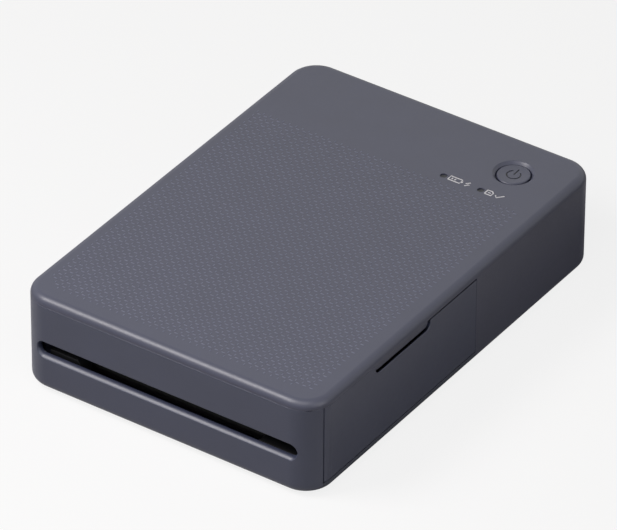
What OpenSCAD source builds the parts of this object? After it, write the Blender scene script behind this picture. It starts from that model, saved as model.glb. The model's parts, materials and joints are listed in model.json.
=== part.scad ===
// Compact photo printer: a flat dye-transfer printer with a side ink door, a paper
// compartment under the body, a paper slot in the front and one push button on top.
// X is to the right, Y to the back, Z up; the feet stand on z = 0, in millimetres.

/* [Body] */
// Width of the body, side to side
body_w = 102.2; // [102:0.2:106]
// Depth of the body, front to back
body_d = 145.8; // [145:0.2:150]
// Height of the body without its feet
body_h = 31.5; // [31.3:0.1:33]
// Radius of the four upright corners
corner_r = 9; // [8:0.5:10]
// Radius of the rounded top edge
top_round = 2; // [1.2:0.1:2.4]
// Radius of the rounded bottom edge
bottom_round = 1.5; // [0.8:0.1:1.5]
// Thickness of the casing walls
wall = 2; // [1.8:0.1:2]
// Thickness of the bottom plate and the paper cover
floor_t = 1.6; // [1.5:0.1:1.6]
// Clearance round a part that is fixed in the casing
fit_gap = 0.1; // [0.05:0.05:0.15]
// Height of the top band above the seam
top_band = 2.75; // [2.5:0.05:3]
// Width of the open line along the seam
seam_gap = 0.15; // [0.1:0.05:0.2]

/* [Feet and screws] */
// Height of the feet under the body
foot_h = 1.4; // [1:0.1:2]
// Radius of each foot
foot_r = 3.2; // [2.5:0.1:3.4]
// Depth of each foot's seat in the bottom plate
foot_seat = 0.4; // [0.2:0.1:0.6]
// Radius of the casing screws
screw_r = 1; // [0.8:0.1:1.1]
// Radius of the casing screw heads
screw_head_r = 1.8; // [1.5:0.1:2]
// Height of the casing screw heads
screw_head_h = 0.9; // [0.7:0.1:1]
// Length of the casing screws
screw_len = 9; // [6:0.5:14]
// Radius of the screw bosses
boss_r = 1.9; // [1.7:0.1:2]

/* [Paper slot] */
// Distance from each end of the slot to the body's side
slot_side = 6.7; // [6.2:0.1:11]
// Height of the slot in the front
slot_h = 3; // [2.5:0.1:3.4]
// Depth of the slot's bevelled edge
slot_bevel = 1.2; // [0.8:0.1:1.3]
// Height of the paper path above the underside of the body
path_h = 13.4; // [13.2:0.1:13.6]

/* [Ink door] */
// Distance from the front of the body to the door's front edge
door_front = 5.6; // [5:0.1:7]
// Length of the door opening
door_len = 76.1; // [74:0.1:80]
// Height of the door's lower edge above the underside of the body
door_sill = 2.9; // [2.8:0.05:3]
// Width of the open line at the door's front edge
door_gap = 0.35; // [0.25:0.05:0.45]
// Radius of the rounding along the door's lower edge
door_edge_r = 0.5; // [0.4:0.05:0.6]
// Radius of the door's hinge pins
hinge_pin_r = 0.6; // [0.5:0.05:0.65]
// Distance from the door opening's front edge to the finger notch
notch_from = 24.8; // [20:0.1:30]
// Length of the finger notch
notch_len = 27.5; // [20:0.5:32]
// Depth of the finger notch
notch_deep = 3.05; // [2.5:0.05:3.5]
// How far the cover's tongue reaches down into the notch
tongue_deep = 1.75; // [1:0.05:2]

/* [Button and lamps] */
// Radius of the power button
button_r = 5.2; // [4.5:0.1:5.6]
// Open ring round the power button
button_gap = 0.3; // [0.2:0.05:0.4]
// Radius of the dish round the button, at the top surface
dish_r = 6.4; // [6.1:0.1:7]
// Depth of the dish and of the button's top
dish_deep = 0.75; // [0.4:0.05:1]
// Travel of the power button
button_travel = 0.4; // [0.2:0.05:0.5]
// Distance from the right side of the body to the button
button_side = 18.65; // [17.2:0.05:23]
// Distance from the back of the body to the button
button_back = 16.6; // [15:0.1:19]
// Radius of the two lamps
lamp_r = 1.05; // [0.8:0.05:1.4]
// Distance from the back of the body to the lamps
lamp_back = 29.5; // [28.5:0.1:30.5]
// Distance from the right side of the body to the first lamp
lamp_a_side = 34.35; // [31:0.05:39]
// Distance from the right side of the body to the second lamp
lamp_b_side = 21.5; // [17.2:0.05:25]

/* [Paper and rollers] */
// Distance from the casing's inner wall to the inner face of each side frame
side_room = 6.1; // [6.1:0.1:6.6]
// Thickness of the side frames
frame_t = 1; // [0.8:0.1:1]
// Radius of the feed roller
feed_r = 3; // [2.6:0.1:3.2]
// Radius of the pinch roller
pinch_r = 2.2; // [1.8:0.1:2.3]
// Radius of the platen roller
platen_r = 4; // [3.6:0.1:4]
// Radius of the pickup roller's tyres
pickup_r = 3.4; // [3:0.1:3.6]
// Radius of the feed and pickup shafts
shaft_r = 1.25; // [1:0.05:1.3]
// Running clearance round shafts and pins
run_gap = 0.04; // [0.02:0.01:0.06]
// Thickness of the paper that the path leaves room for
paper_room = 0.25; // [0.2:0.05:0.3]

/* [Ink cassette] */
// Outer radius of the cassette's two tubes
tube_r = 6.2; // [5.8:0.1:6.2]
// Wall of the cassette's tubes
tube_wall = 0.8; // [0.6:0.1:0.9]
// Clearance between the feed motor and the cassette's front tube
motor_room = 3.3; // [3.3:0.1:4.3]
// Distance from the middle of the body forward to the take-up spool
takeup_front = 4; // [4:0.1:5]
// Radius of the spool cores
core_r = 2.6; // [2.4:0.1:2.8]
// Radius of the ribbon wound on a spool
roll_r = 4.4; // [3.6:0.1:4.6]
// Thickness of the ribbon
film_t = 0.1; // [0.08:0.01:0.12]
// Thickness of the cassette's end plate
end_plate_t = 2; // [1.6:0.1:2]

/* [Print head] */
// Lift of the print head above its printing height
head_lift = 1.75; // [1.6:0.05:1.75]
// Width of the head's ceramic bar, front to back
head_bar_w = 8; // [6:0.5:9]
// Height of the heat sink
sink_h = 6; // [5:0.5:6.5]

/* [Gears and motors] */
// Thickness of the gears
gear_t = 1.3; // [1:0.1:1.3]
// Radius of the motors
motor_r = 5; // [4.4:0.1:5]
// Length of the motors
motor_len = 16; // [12:0.5:20]

/* [Hidden] */
$fn = 64;
tiny = 0.01;

// ---- heights and outlines of the casing
z_under = foot_h;
z_top = foot_h + body_h;
z_floor = z_under + floor_t;
z_ceiling = z_top - wall;
z_seam = z_top - top_band;
half_w = body_w / 2;
half_d = body_d / 2;
inner_w = half_w - wall;
inner_d = half_d - wall;
inner_r = corner_r - wall;

// ---- ink door
door_y0 = -half_d + door_front;
door_y1 = door_y0 + door_len;
door_z0 = z_under + door_sill;
door_z1 = z_seam - seam_gap;
hinge_x = inner_w;
hinge_z = door_z0 + wall + fit_gap;
door_sweep = norm([wall - door_edge_r, hinge_z - door_z0 - door_edge_r]) + door_edge_r;
lug_t = 1.4;
lug_r = 1.4;
ear_t = 3;
ear_r = 1.6;
lug_reach = 4.1;
lug_post_t = 1.5;
hinge_ys = [door_y0 + 9.3, door_y1 - 10.8];
lug_offset = ear_t / 2 + lug_t / 2 + fit_gap;
notch_y0 = door_y0 + notch_from;
notch_y1 = notch_y0 + notch_len;

// ---- paper path and paper compartment
slot_w = body_w - 2 * slot_side;
z_path = z_under + path_h;
frame_in = inner_w - side_room;
frame_span = 2 * frame_in;
frame_out = frame_in + frame_t;
bay_half = frame_in - 0.2;
bay_front = -half_d + 12.9;
bay_back = half_d - 25.6;
cover_pin_r = 0.5;
cover_roll_r = 0.9;
cover_hinge_y = bay_back - cover_roll_r - fit_gap;
cover_hinge_z = z_under + cover_roll_r;

// ---- feet and screws
foot_x = half_w - 15.1;
foot_front_y = -half_d + 7.4;
foot_back_y = half_d - 12.9;
boss_x = inner_w - 4.7;
boss_front_y = -inner_d + 4.2;
boss_back_y = inner_d - 4.2;
boss_spots = [for (y = [boss_front_y, boss_back_y]) for (sx = [-1, 1]) [sx * boss_x, y]];

// ---- rollers, spools and motors, as [y, z] of each axis
feed_at = [-half_d + 15.4, z_path - paper_room / 2 - feed_r];
pinch_at = [feed_at[0], z_path + paper_room / 2 + pinch_r];
feed_motor_at = [feed_at[0] + 1, z_ceiling - motor_r - 0.7];
spool_z = z_path + 0.9 + tube_r;
takeup_at = [-takeup_front, spool_z];
supply_at = [feed_motor_at[0] + motor_r + motor_room + tube_r, spool_z];
spool_pitch = takeup_at[0] - supply_at[0];
platen_at = [(supply_at[0] + takeup_at[0]) / 2, z_path - paper_room / 2 - platen_r];
stack_room = 3.3;
pickup_at = [bay_back - 11.3, z_floor + stack_room + pickup_r];
roller_half = frame_in - 0.6;
bush_r = 2;
bush_flange_r = 2.4;
bush_flange_t = 0.3;

// ---- layers of gears outside the left frame, as the x of each layer's inner face
belt_x = -frame_out - 0.35 - gear_t;
gear_x = belt_x - 0.2 - gear_t;
outer_gear_x = gear_x - 0.2 - gear_t;
pulley_r = 2.9;
belt_t = 0.6;

// ---- feed gear train
gear_module = 0.5;
feed_teeth = 24;
pinion_teeth = 10;
reduction_big = 26;
reduction_small = 10;
reduction_at = meet(
    feed_motor_at, pitch_r(pinion_teeth) + pitch_r(reduction_big),
    feed_at, pitch_r(feed_teeth) + pitch_r(reduction_small)
);

// ---- ink cassette and its drive
takeup_teeth = 22;
idler_teeth = 16;
idler_at = [takeup_at[0] + pitch_r(takeup_teeth) + pitch_r(idler_teeth), spool_z];
ribbon_motor_at = [idler_at[0] + pitch_r(idler_teeth) + pitch_r(pinion_teeth), spool_z];
cassette_left = -frame_in + 1;
cassette_right = frame_out + 0.3;
z_bridge = z_path + 0.5;
bridge_t = 1.3;
spool_left = cassette_left + 1;
spool_right = frame_in - 1;

// ---- print head, drawn raised: the joint lowers it onto the ribbon
head_low_z = z_path + paper_room / 2 + film_t + 0.35;
head_z = head_low_z + head_lift;
bar_t = 2;
sink_z = head_z + bar_t;
arm_t = 1;
arm_z = z_ceiling - 0.7 - arm_t;
arm_pivot = [ribbon_motor_at[0] + 6, arm_z - 2.7];
arm_half = frame_in - 1.5;
head_half = arm_half - 3.3;
sleeve_r = 2.2;
sector_teeth = 36;
lift_teeth = 12;
lift_motor_at = arm_pivot + [pitch_r(sector_teeth) + pitch_r(lift_teeth), 0];

// ---- boards, flat cables and battery
flex_w = 28;
flex_t = 0.15;
lamp_from_flex = 2.75;
board_t = 1;
board_z = z_ceiling - 6.3;
board_y0 = half_d - 31.9;
board_y1 = inner_d - 1.4;
board_half = frame_out;
usb_x = -half_w + 26.1;
usb_w = 8.94;
usb_h = 3.26;
usb_len = 7.4;
usb_z = board_z - usb_h / 2;
usb_sheet = 0.3;
button_at = [half_w - button_side, half_d - button_back];
lamps_at = [for (side = [lamp_a_side, lamp_b_side]) [half_w - side, half_d - lamp_back]];
flex_x = lamps_at[0][0] - lamp_from_flex - flex_w / 2;
battery_y0 = bay_back + 7.2;
battery_y1 = inner_d - 0.8;
battery_h = 17;
battery_half = 23;
battery_x = frame_out - 3 - battery_half;

// ---- eject lever
eject_at = [frame_out + 1.4, takeup_at[0] + tube_r + 4];
eject_z0 = spool_z - 3;
eject_h = 6;
eject_sheet = 0.7;
eject_finger = 7.7;
eject_pin_r = 0.7;

// ---- side frames, their screws and tie rods
frame_tab_ys = [-35, 12];
frame_screw_x = frame_out + 1.4;
frame_screw_spots = [for (sx = [-1, 1]) for (y = frame_tab_ys) [sx * frame_screw_x, y]];
frame_y0 = boss_front_y + boss_r + 0.4;
tie_r = 1;
tie_at = [feed_at - [4, 4.2], [arm_pivot[0] + 14, z_path + 3.6]];
stub_r = 1.4;

// ---- turn guide
turn_at = [bay_back - 1, (z_path + z_floor + stack_room) / 2];
turn_r = (z_path - z_floor - stack_room) / 2;

// ---- lift plate, drawn raised against the pickup roller
lift_half = frame_in - 5;
lift_pivot = [-38, z_floor + 0.7];
lift_angle = 1.6;
lift_t = 0.6;
lift_len = pickup_at[0] + 3 - lift_pivot[0];

// Pitch radius of a gear
function pitch_r(teeth) = teeth * gear_module / 2;

// Point at distance ra from a and rb from b, on the side to the right of the line from a to b
function meet(a, ra, b, rb) =
    let (
        d = norm(b - a),
        along = (ra * ra - rb * rb + d * d) / (2 * d),
        off = sqrt(ra * ra - along * along),
        u = (b - a) / d
    )
    a + along * u + off * [-u[1], u[0]];

// Direction from a to b, in degrees
function bearing(a, b) = atan2(b[1] - a[1], b[0] - a[0]);

// Outline of a gear with straight-sided teeth; tooth 0 points along +X
function gear_points(teeth) =
    let (
        r = pitch_r(teeth),
        tip = r + 0.8 * gear_module,
        root = r - 1.1 * gear_module,
        step = 360 / teeth
    )
    [for (i = [0 : teeth - 1]) for (k = [[-0.27, root], [-0.1, tip], [0.1, tip], [0.27, root]])
        k[1] * [cos((i + k[0]) * step), sin((i + k[0]) * step)]];

// Places children whose local X, Y, Z point along the body's Y, Z, X, from x0 on
module along_x(at, x0 = 0) {
    translate([x0, at[0], at[1]]) rotate([90, 0, 90]) children();
}

// Round bar along X between two x
module rod_x(at, r, x0, x1) {
    along_x(at, x0) cylinder(r = r, h = x1 - x0);
}

// Gear on an axis along X; phase turns it, in degrees
module gear_x_axis(at, teeth, x0, phase = 0, thick = gear_t) {
    along_x(at, x0) rotate(phase) linear_extrude(thick) polygon(gear_points(teeth));
}

// Half of a slab's cross-section, from its middle plane to its outer edge
module edge_profile(reach, h, r_top, r_low) {
    translate([0, r_low]) square([reach, h - r_top - r_low]);
    square([reach - r_low, h / 2]);
    translate([0, h / 2]) square([reach - r_top, h / 2]);
    translate([reach - r_top, h - r_top]) circle(r_top);
    translate([reach - r_low, r_low]) circle(r_low);
}

// Slab with upright rounded corners and rounded top and bottom edges
module rounded_slab(hw, hd, h, r, r_top, r_low) {
    translate([0, hd - r, 0]) rotate([90, 0, 0]) linear_extrude(2 * (hd - r)) {
        edge_profile(hw, h, r_top, r_low);
        mirror([1, 0]) edge_profile(hw, h, r_top, r_low);
    }
    for (side = [0, 180]) {
        rotate(side) translate([-(hw - r), hd - r, 0]) rotate([90, 0, 90])
            linear_extrude(2 * (hw - r)) edge_profile(r, h, r_top, r_low);
        rotate(side) translate([hw - r, hd - r, 0])
            rotate_extrude(angle = 90) edge_profile(r, h, r_top, r_low);
        rotate(side) translate([-(hw - r), hd - r, 0]) rotate(90)
            rotate_extrude(angle = 90) edge_profile(r, h, r_top, r_low);
    }
}

// Plate with rounded corners
module rounded_plate(hw, hd, t, r) {
    linear_extrude(t) {
        square([2 * hw, 2 * (hd - r)], center = true);
        square([2 * (hw - r), 2 * hd], center = true);
        for (sx = [-1, 1]) for (sy = [-1, 1]) translate([sx * (hw - r), sy * (hd - r)]) circle(r);
    }
}

// Outer walls and top of the casing in one piece, open below
module case_shell() {
    difference() {
        translate([0, 0, z_under])
            rounded_slab(half_w, half_d, body_h, corner_r, top_round, bottom_round);
        translate([0, 0, z_under - 1]) rounded_plate(inner_w, inner_d, z_ceiling - z_under + 1, inner_r);
    }
}

// Box that takes in the ink door's opening, grown or shrunk by gaps
module door_region(front, back, low, high) {
    translate([inner_w - 5, door_y0 + front, low])
        cube([wall + 6, door_len - front - back, high - low]);
}

// Outline of the finger notch in the YZ plane, shrunk by a margin and closed at its top
module notch_outline(margin, deep) {
    r = 2 - margin;
    y0 = notch_y0 + margin;
    y1 = notch_y1 - margin;
    translate([y0, z_seam - deep + r]) square([y1 - y0, deep - r + 0.5]);
    translate([y0 + r, z_seam - deep]) square([y1 - y0 - 2 * r, deep]);
    translate([y0 + r, z_seam - deep + r]) circle(r);
    translate([y1 - r, z_seam - deep + r]) circle(r);
}

module top_cover() {
    tongue_set = 0.6;
    collar_h = 1.6;
    collar_t = 1.2;
    collar_room = 0.2;
    socket_h = 1;
    color([0.36, 0.38, 0.44]) difference() {
        union() {
            difference() {
                case_shell();
                translate([-body_w, -half_d - 1, 0]) cube([2 * body_w, door_front + 1, z_seam]);
                door_region(0, 0, 0, z_seam);
            }
            // tongue in the door's finger notch
            translate([inner_w - tongue_set, 0, 0]) rotate([90, 0, 90]) linear_extrude(wall)
                intersection() {
                    notch_outline(0.3, tongue_deep);
                    translate([notch_y0, z_seam - notch_deep]) square([notch_len, notch_deep + tiny]);
                }
            // screw bosses and their ribs to the ceiling
            for (p = boss_spots) translate([p[0], p[1], z_floor + 0.5])
                cylinder(r = boss_r, h = z_ceiling - z_floor - 0.5 + tiny);
            // guide collar round the button's stem
            translate([button_at[0], button_at[1], z_ceiling - collar_h]) difference() {
                cylinder(r = dish_r + collar_t, h = collar_h + tiny);
                translate([0, 0, -tiny]) cylinder(r = dish_r + collar_room, h = collar_h + 3 * tiny);
            }
            // sockets for the lamp lenses
            for (p = lamps_at) translate([p[0], p[1], z_ceiling - socket_h])
                cylinder(r = lamp_r + 1, h = socket_h + tiny);
        }
        // button hole and its dish
        translate([button_at[0], button_at[1], 0]) {
            translate([0, 0, z_ceiling - 1]) cylinder(r = button_r + button_gap, h = wall + 2);
            translate([0, 0, z_top - dish_deep])
                cylinder(r1 = button_r + button_gap, r2 = dish_r, h = dish_deep);
            translate([0, 0, z_top - tiny]) cylinder(r = dish_r, h = 1);
        }
        for (p = lamps_at) translate([p[0], p[1], z_ceiling - 2]) cylinder(r = lamp_r + 0.03, h = wall + 3);
        for (p = boss_spots) translate([p[0], p[1], z_floor]) cylinder(r = screw_r, h = screw_len);
        // opening for the charging socket
        usb_cut(half_d + 1, wall + 3);
    }
}

// Stadium-shaped bar along Y that ends at y1
module usb_bar(w, h, y1, len) {
    translate([usb_x, y1, usb_z]) rotate([90, 0, 0]) linear_extrude(len) {
        square([w - h, h], center = true);
        for (s = [-1, 1]) translate([s * (w - h) / 2, 0]) circle(h / 2);
    }
}

module usb_cut(y1, len) {
    usb_bar(usb_w + 0.6, usb_h + 0.6, y1, len);
}

module front_panel() {
    rib = 3;
    ledge_t = 0.8;
    ledge_half = boss_x - boss_r - 0.5;
    color([0.29, 0.31, 0.37]) difference() {
        union() {
            intersection() {
                case_shell();
                translate([-body_w, -half_d - 1, 0])
                    cube([2 * body_w, door_front + 1 - fit_gap / 2, z_seam - seam_gap]);
            }
            // inner ledge that closes the seam from behind
            translate([-ledge_half, -inner_d - tiny, z_seam - rib])
                cube([2 * ledge_half, ledge_t, rib - seam_gap]);
            translate([-ledge_half, -inner_d + fit_gap, z_seam - rib])
                cube([2 * ledge_half, ledge_t - fit_gap, rib + top_band - wall - fit_gap]);
        }
        paper_slot();
    }
}

// Slot through the front with full-round ends and a bevelled outer edge
module paper_slot() {
    end_x = (slot_w - slot_h) / 2;
    translate([0, -half_d, z_path]) rotate([-90, 0, 0]) {
        translate([0, 0, -1]) linear_extrude(wall + 2) {
            square([2 * end_x, slot_h], center = true);
            for (s = [-1, 1]) translate([s * end_x, 0]) circle(slot_h / 2);
        }
        for (s = [-1, 1]) translate([s * end_x, 0, 0])
            cylinder(r1 = slot_h / 2 + slot_bevel, r2 = slot_h / 2, h = slot_bevel);
    }
    translate([-end_x, -half_d, z_path]) rotate([90, 0, 90]) linear_extrude(2 * end_x) polygon([
        [-tiny, -slot_h / 2 - slot_bevel],
        [slot_bevel, -slot_h / 2],
        [slot_bevel, slot_h / 2],
        [-tiny, slot_h / 2 + slot_bevel]
    ]);
}

module base_tray() {
    rim_t = 1.2;
    rim_h = 3;
    color([0.24, 0.26, 0.31]) difference() {
        union() {
            translate([0, 0, z_under])
                rounded_plate(inner_w - fit_gap, inner_d - fit_gap, floor_t, inner_r - fit_gap);
            // sill under the ink door
            intersection() {
                translate([0, 0, z_under])
                    rounded_slab(half_w, half_d, body_h, corner_r, top_round, bottom_round);
                translate([inner_w - 1, door_y0, 0])
                    cube([wall + 2, door_len, door_z0 - fit_gap]);
            }
            // lugs that hold the door's hinge pins
            for (y = hinge_ys) for (s = [-1, 1]) door_lug(y + s * lug_offset);
            // upright rims that stiffen the plate along the sides
            for (s = [-1, 1])
                translate([s * (inner_w - fit_gap - rim_t / 2) - rim_t / 2, door_y1 + 3, z_floor - tiny])
                    cube([rim_t, boss_back_y - boss_r - door_y1 - 4, rim_h]);
            translate([-boss_x + boss_r + 1, -inner_d + fit_gap, z_floor - tiny])
                cube([2 * (boss_x - boss_r - 1), rim_t, rim_h]);
        }
        // paper compartment's opening
        translate([-bay_half, bay_front, z_under - 1])
            cube([2 * bay_half, bay_back - bay_front, floor_t + 2]);
        // room for the door's lower edge to swing
        rod_x_door_sweep();
        for (p = boss_spots) translate([p[0], p[1], z_under - 1]) {
            cylinder(r = screw_r + 0.1, h = floor_t + 2);
            cylinder(r = screw_head_r + 0.1, h = 1 + screw_head_h);
        }
        for (sx = [-1, 1]) for (y = [foot_front_y, foot_back_y])
            translate([sx * foot_x, y, z_under - 1]) cylinder(r = foot_r, h = 1 + foot_seat);
        for (p = frame_screw_spots) translate([p[0], p[1], z_under + 0.4]) cylinder(r = 0.7, h = floor_t);
        // seats of the cover's hinge pins
        for (s = [-1, 1]) translate([s * (bay_half + 1), cover_hinge_y, cover_hinge_z])
            rotate([0, 90, 0]) cylinder(r = cover_pin_r, h = 4, center = true);
    }
}

module rod_x_door_sweep() {
    translate([hinge_x, door_y0 - tiny, hinge_z]) rotate([-90, 0, 0])
        cylinder(r = door_sweep + 0.06, h = door_len + 2 * tiny);
}

// One hinge lug: an arm that reaches the hinge axis from a post on the bottom plate
module door_lug(y) {
    difference() {
        translate([0, y + lug_t / 2, 0]) rotate([90, 0, 0]) linear_extrude(lug_t) {
            translate([hinge_x, hinge_z]) circle(lug_r);
            translate([hinge_x - lug_reach, hinge_z - lug_r]) square([lug_reach, 2 * lug_r]);
            translate([hinge_x - lug_reach, z_floor - tiny]) square([lug_post_t, hinge_z - z_floor]);
        }
        translate([hinge_x, y - lug_t, hinge_z]) rotate([-90, 0, 0])
            cylinder(r = hinge_pin_r, h = 2 * lug_t);
    }
}

module rubber_feet() {
    color([0.1, 0.1, 0.11]) for (sx = [-1, 1]) for (y = [foot_front_y, foot_back_y])
        translate([sx * foot_x, y, 0]) rotate_extrude() {
            square([foot_r, foot_h + foot_seat - 0.5]);
            translate([0, 0.5]) square([foot_r, foot_h + foot_seat - 0.5]);
        }
}

module case_screws() {
    color([0.6, 0.6, 0.62]) for (p = boss_spots) translate([p[0], p[1], z_under + 0.05]) difference() {
        union() {
            cylinder(r = screw_head_r, h = screw_head_h - 0.05);
            cylinder(r = screw_r, h = screw_len);
        }
        for (a = [0, 90]) rotate(a) translate([-1, -0.2, -tiny]) cube([2, 0.4, 0.45]);
    }
}

module ink_door() {
    color([0.25, 0.27, 0.32]) difference() {
        union() {
            difference() {
                intersection() {
                    difference() {
                        translate([0, 0, z_under])
                            rounded_slab(half_w, half_d, body_h, corner_r, top_round, bottom_round);
                        translate([0, 0, z_under - 1])
                            rounded_plate(inner_w, inner_d, body_h + 2, inner_r);
                    }
                    door_region(door_gap, 0.15, door_z0, door_z1);
                }
                // round off the lower outer edge
                door_edge_cut();
            }
            for (y = hinge_ys) translate([hinge_x, y - ear_t / 2, hinge_z]) rotate([-90, 0, 0])
                cylinder(r = ear_r, h = ear_t);
        }
        // finger notch
        translate([inner_w - 1, 0, 0]) rotate([90, 0, 90]) linear_extrude(wall + 2)
            notch_outline(0, notch_deep);
        // room for the fixed lugs
        for (y = hinge_ys) for (s = [-1, 1]) {
            y_lug = y + s * lug_offset;
            translate([hinge_x, y_lug - lug_t / 2 - fit_gap, hinge_z]) rotate([-90, 0, 0])
                cylinder(r = lug_r + 0.12, h = lug_t + 2 * fit_gap);
            translate([hinge_x - 1, y_lug - lug_t / 2 - fit_gap, door_z0 - 1])
                cube([1 + lug_r + 0.12, lug_t + 2 * fit_gap, hinge_z - door_z0 + 1]);
        }
        for (y = hinge_ys) translate([hinge_x, y - ear_t, hinge_z]) rotate([-90, 0, 0])
            cylinder(r = hinge_pin_r + run_gap, h = 2 * ear_t);
    }
}

// Corner strip taken off the door's lower outer edge
module door_edge_cut() {
    difference() {
        translate([half_w - door_edge_r, door_y0 - 1, door_z0 - 1])
            cube([2, door_len + 2, 1 + door_edge_r]);
        translate([half_w - door_edge_r, door_y0 - 2, door_z0 + door_edge_r]) rotate([-90, 0, 0])
            cylinder(r = door_edge_r, h = door_len + 4);
    }
}

module door_hinge_pins() {
    pin_len = ear_t + 2 * lug_t + 2 * fit_gap;
    color([0.7, 0.7, 0.72]) for (y = hinge_ys)
        translate([hinge_x, y - pin_len / 2, hinge_z]) rotate([-90, 0, 0])
            cylinder(r = hinge_pin_r, h = pin_len);
}

module paper_cover() {
    plate_half = bay_half - 0.3;
    plate_front = bay_front + 0.3;
    grip_r = 9;
    rim_h = 1.2;
    pivot_r = 0.4;
    color([0.26, 0.28, 0.33]) difference() {
        union() {
            translate([-plate_half, plate_front, z_under])
                cube([2 * plate_half, cover_hinge_y - plate_front, floor_t]);
            translate([0, cover_hinge_y, cover_hinge_z]) rotate([0, 90, 0])
                cylinder(r = cover_roll_r, h = 2 * plate_half, center = true);
            // stiffening rims along both sides
            for (s = [-1, 1]) translate([s * (plate_half - 0.5) - 0.5, plate_front + 2, z_floor - tiny])
                cube([1, pickup_at[0] - plate_front - 6, rim_h]);
            // bearing blocks of the lift plate's front edge
            for (s = [-1, 1]) translate([s * (lift_half + 1) - 0.8, lift_pivot[0] - 1.2, z_floor - tiny])
                cube([1.6, 2.4, 1.4]);
        }
        // finger recess at the free edge, on the underside
        translate([0, plate_front - 4, z_under - 1]) cylinder(r = grip_r, h = 1.8);
        translate([0, cover_hinge_y, cover_hinge_z]) rotate([0, 90, 0])
            cylinder(r = cover_pin_r + run_gap, h = body_w, center = true);
        translate([0, lift_pivot[0], lift_pivot[1]]) rotate([0, 90, 0])
            cylinder(r = pivot_r + run_gap, h = 2 * lift_half + 6, center = true);
    }
}

module cover_hinge_pins() {
    color([0.7, 0.7, 0.72]) for (s = [-1, 1])
        translate([s * (bay_half + 0.25), cover_hinge_y, cover_hinge_z]) rotate([0, 90, 0])
            cylinder(r = cover_pin_r, h = 5.4, center = true);
}

// Plate that presses the paper up against the pickup roller, drawn raised
module lift_plate() {
    window = [12, 30];
    color([0.7, 0.71, 0.73]) translate([0, lift_pivot[0], lift_pivot[1]]) rotate([lift_angle, 0, 0])
        difference() {
            union() {
                translate([-lift_half, 0, -lift_t / 2]) cube([2 * lift_half, lift_len, lift_t]);
                rotate([0, 90, 0]) cylinder(r = 0.4, h = 2 * lift_half + 3.4, center = true);
            }
            for (s = [-1, 1]) translate([s * (lift_half - 16) - window[0] / 2, 18, -1])
                cube([window[0], window[1], 2]);
        }
}

// Coil of round wire standing along +Z, as one swept tube
module coil(r, wire_r, turns, h, per_turn = 14) {
    sides = 6;
    steps = turns * per_turn;
    rings = [for (i = [0 : steps]) let (a = 360 * i / per_turn) [
        for (k = [0 : sides - 1]) let (b = 360 * k / sides, q = r + wire_r * cos(b)) [
            q * cos(a), q * sin(a), wire_r + (h - 2 * wire_r) * i / steps + wire_r * sin(b)
        ]
    ]];
    points = [for (ring = rings) for (p = ring) p];
    last = steps * sides;
    faces = concat(
        [[for (k = [0 : sides - 1]) k]],
        [for (i = [0 : steps - 1]) for (k = [0 : sides - 1]) let (a = i * sides, j = (k + 1) % sides)
            [a + k, a + sides + k, a + sides + j, a + j]],
        [[for (k = [sides - 1 : -1 : 0]) last + k]]
    );
    polyhedron(points = points, faces = faces, convexity = 6);
}

module lift_plate_spring() {
    spring_y = pickup_at[0] - 4;
    spring_h = lift_pivot[1] - z_floor + (spring_y - lift_pivot[0]) * tan(lift_angle) - lift_t / 2;
    color([0.75, 0.75, 0.76]) translate([0, spring_y, z_floor]) coil(2.2, 0.2, 3, spring_h - 0.15);
}

// Lower guides just inside the slot, at its two ends
module exit_guides() {
    guide_y1 = frame_y0 - 0.2;
    guide_len = guide_y1 + inner_d - fit_gap - 1.3;
    reach = 13;
    color([0.12, 0.12, 0.13]) for (s = [-1, 1]) {
        top = s < 0 ? z_path - 1.6 : z_path - 3;
        translate([0, guide_y1, 0]) rotate([90, 0, 0]) linear_extrude(guide_len) polygon([
            [s * (boss_x - boss_r - 0.1), z_floor],
            [s * (boss_x - boss_r - 0.1), top],
            [s * (frame_in - reach), top],
            [s * (frame_in - reach - 1.5), top - 2],
            [s * (frame_in - reach - 1.5), z_floor + 3],
            [s * (frame_in - 4), z_floor]
        ]);
    }
}

module power_button() {
    flange_t = 0.7;
    flange_z = z_ceiling - 0.05 - flange_t;
    stem_z = board_z + board_t + 2 + button_travel + 0.1;
    top_z = z_top - dish_deep;
    mark_w = 0.35;
    color([0.36, 0.38, 0.44]) translate([button_at[0], button_at[1], 0]) difference() {
        union() {
            translate([0, 0, flange_z]) cylinder(r = button_r, h = top_z - flange_z);
            translate([0, 0, flange_z]) cylinder(r = dish_r, h = flange_t);
            translate([0, 0, stem_z]) cylinder(r = 1.2, h = flange_z - stem_z + tiny);
        }
        // engraved ring and bar of the standby mark
        translate([0, 0, top_z - 0.2]) {
            rotate(125) rotate_extrude(angle = 290) translate([1.9, 0]) square([mark_w, 1]);
            translate([-mark_w / 2, 0.9, 0]) cube([mark_w, 2.1, 1]);
        }
    }
}

module button_spring() {
    low = board_z + board_t + 0.05;
    color([0.75, 0.75, 0.76]) translate([button_at[0], button_at[1], low])
        coil(3.6, 0.2, 3, z_ceiling - 0.8 - low);
}

module power_switch() {
    color([0.15, 0.15, 0.16]) translate([button_at[0], button_at[1], board_z + board_t]) {
        translate([-2.2, -2.2, 0]) cube([4.4, 4.4, 1.4]);
        cylinder(r = 1, h = 2);
    }
}

module lamp_lenses() {
    low = board_z + board_t + 1;
    color([0.05, 0.05, 0.06]) for (p = lamps_at) translate([p[0], p[1], low]) {
        cylinder(r = lamp_r, h = z_top - 0.12 - low);
        cylinder(r = lamp_r + 0.7, h = z_ceiling - 1 - low);
    }
}

module status_leds() {
    color([0.85, 0.85, 0.8]) for (p = lamps_at)
        translate([p[0] - 0.8, p[1] - 0.5, board_z + board_t]) cube([1.6, 1, 0.8]);
}

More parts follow.
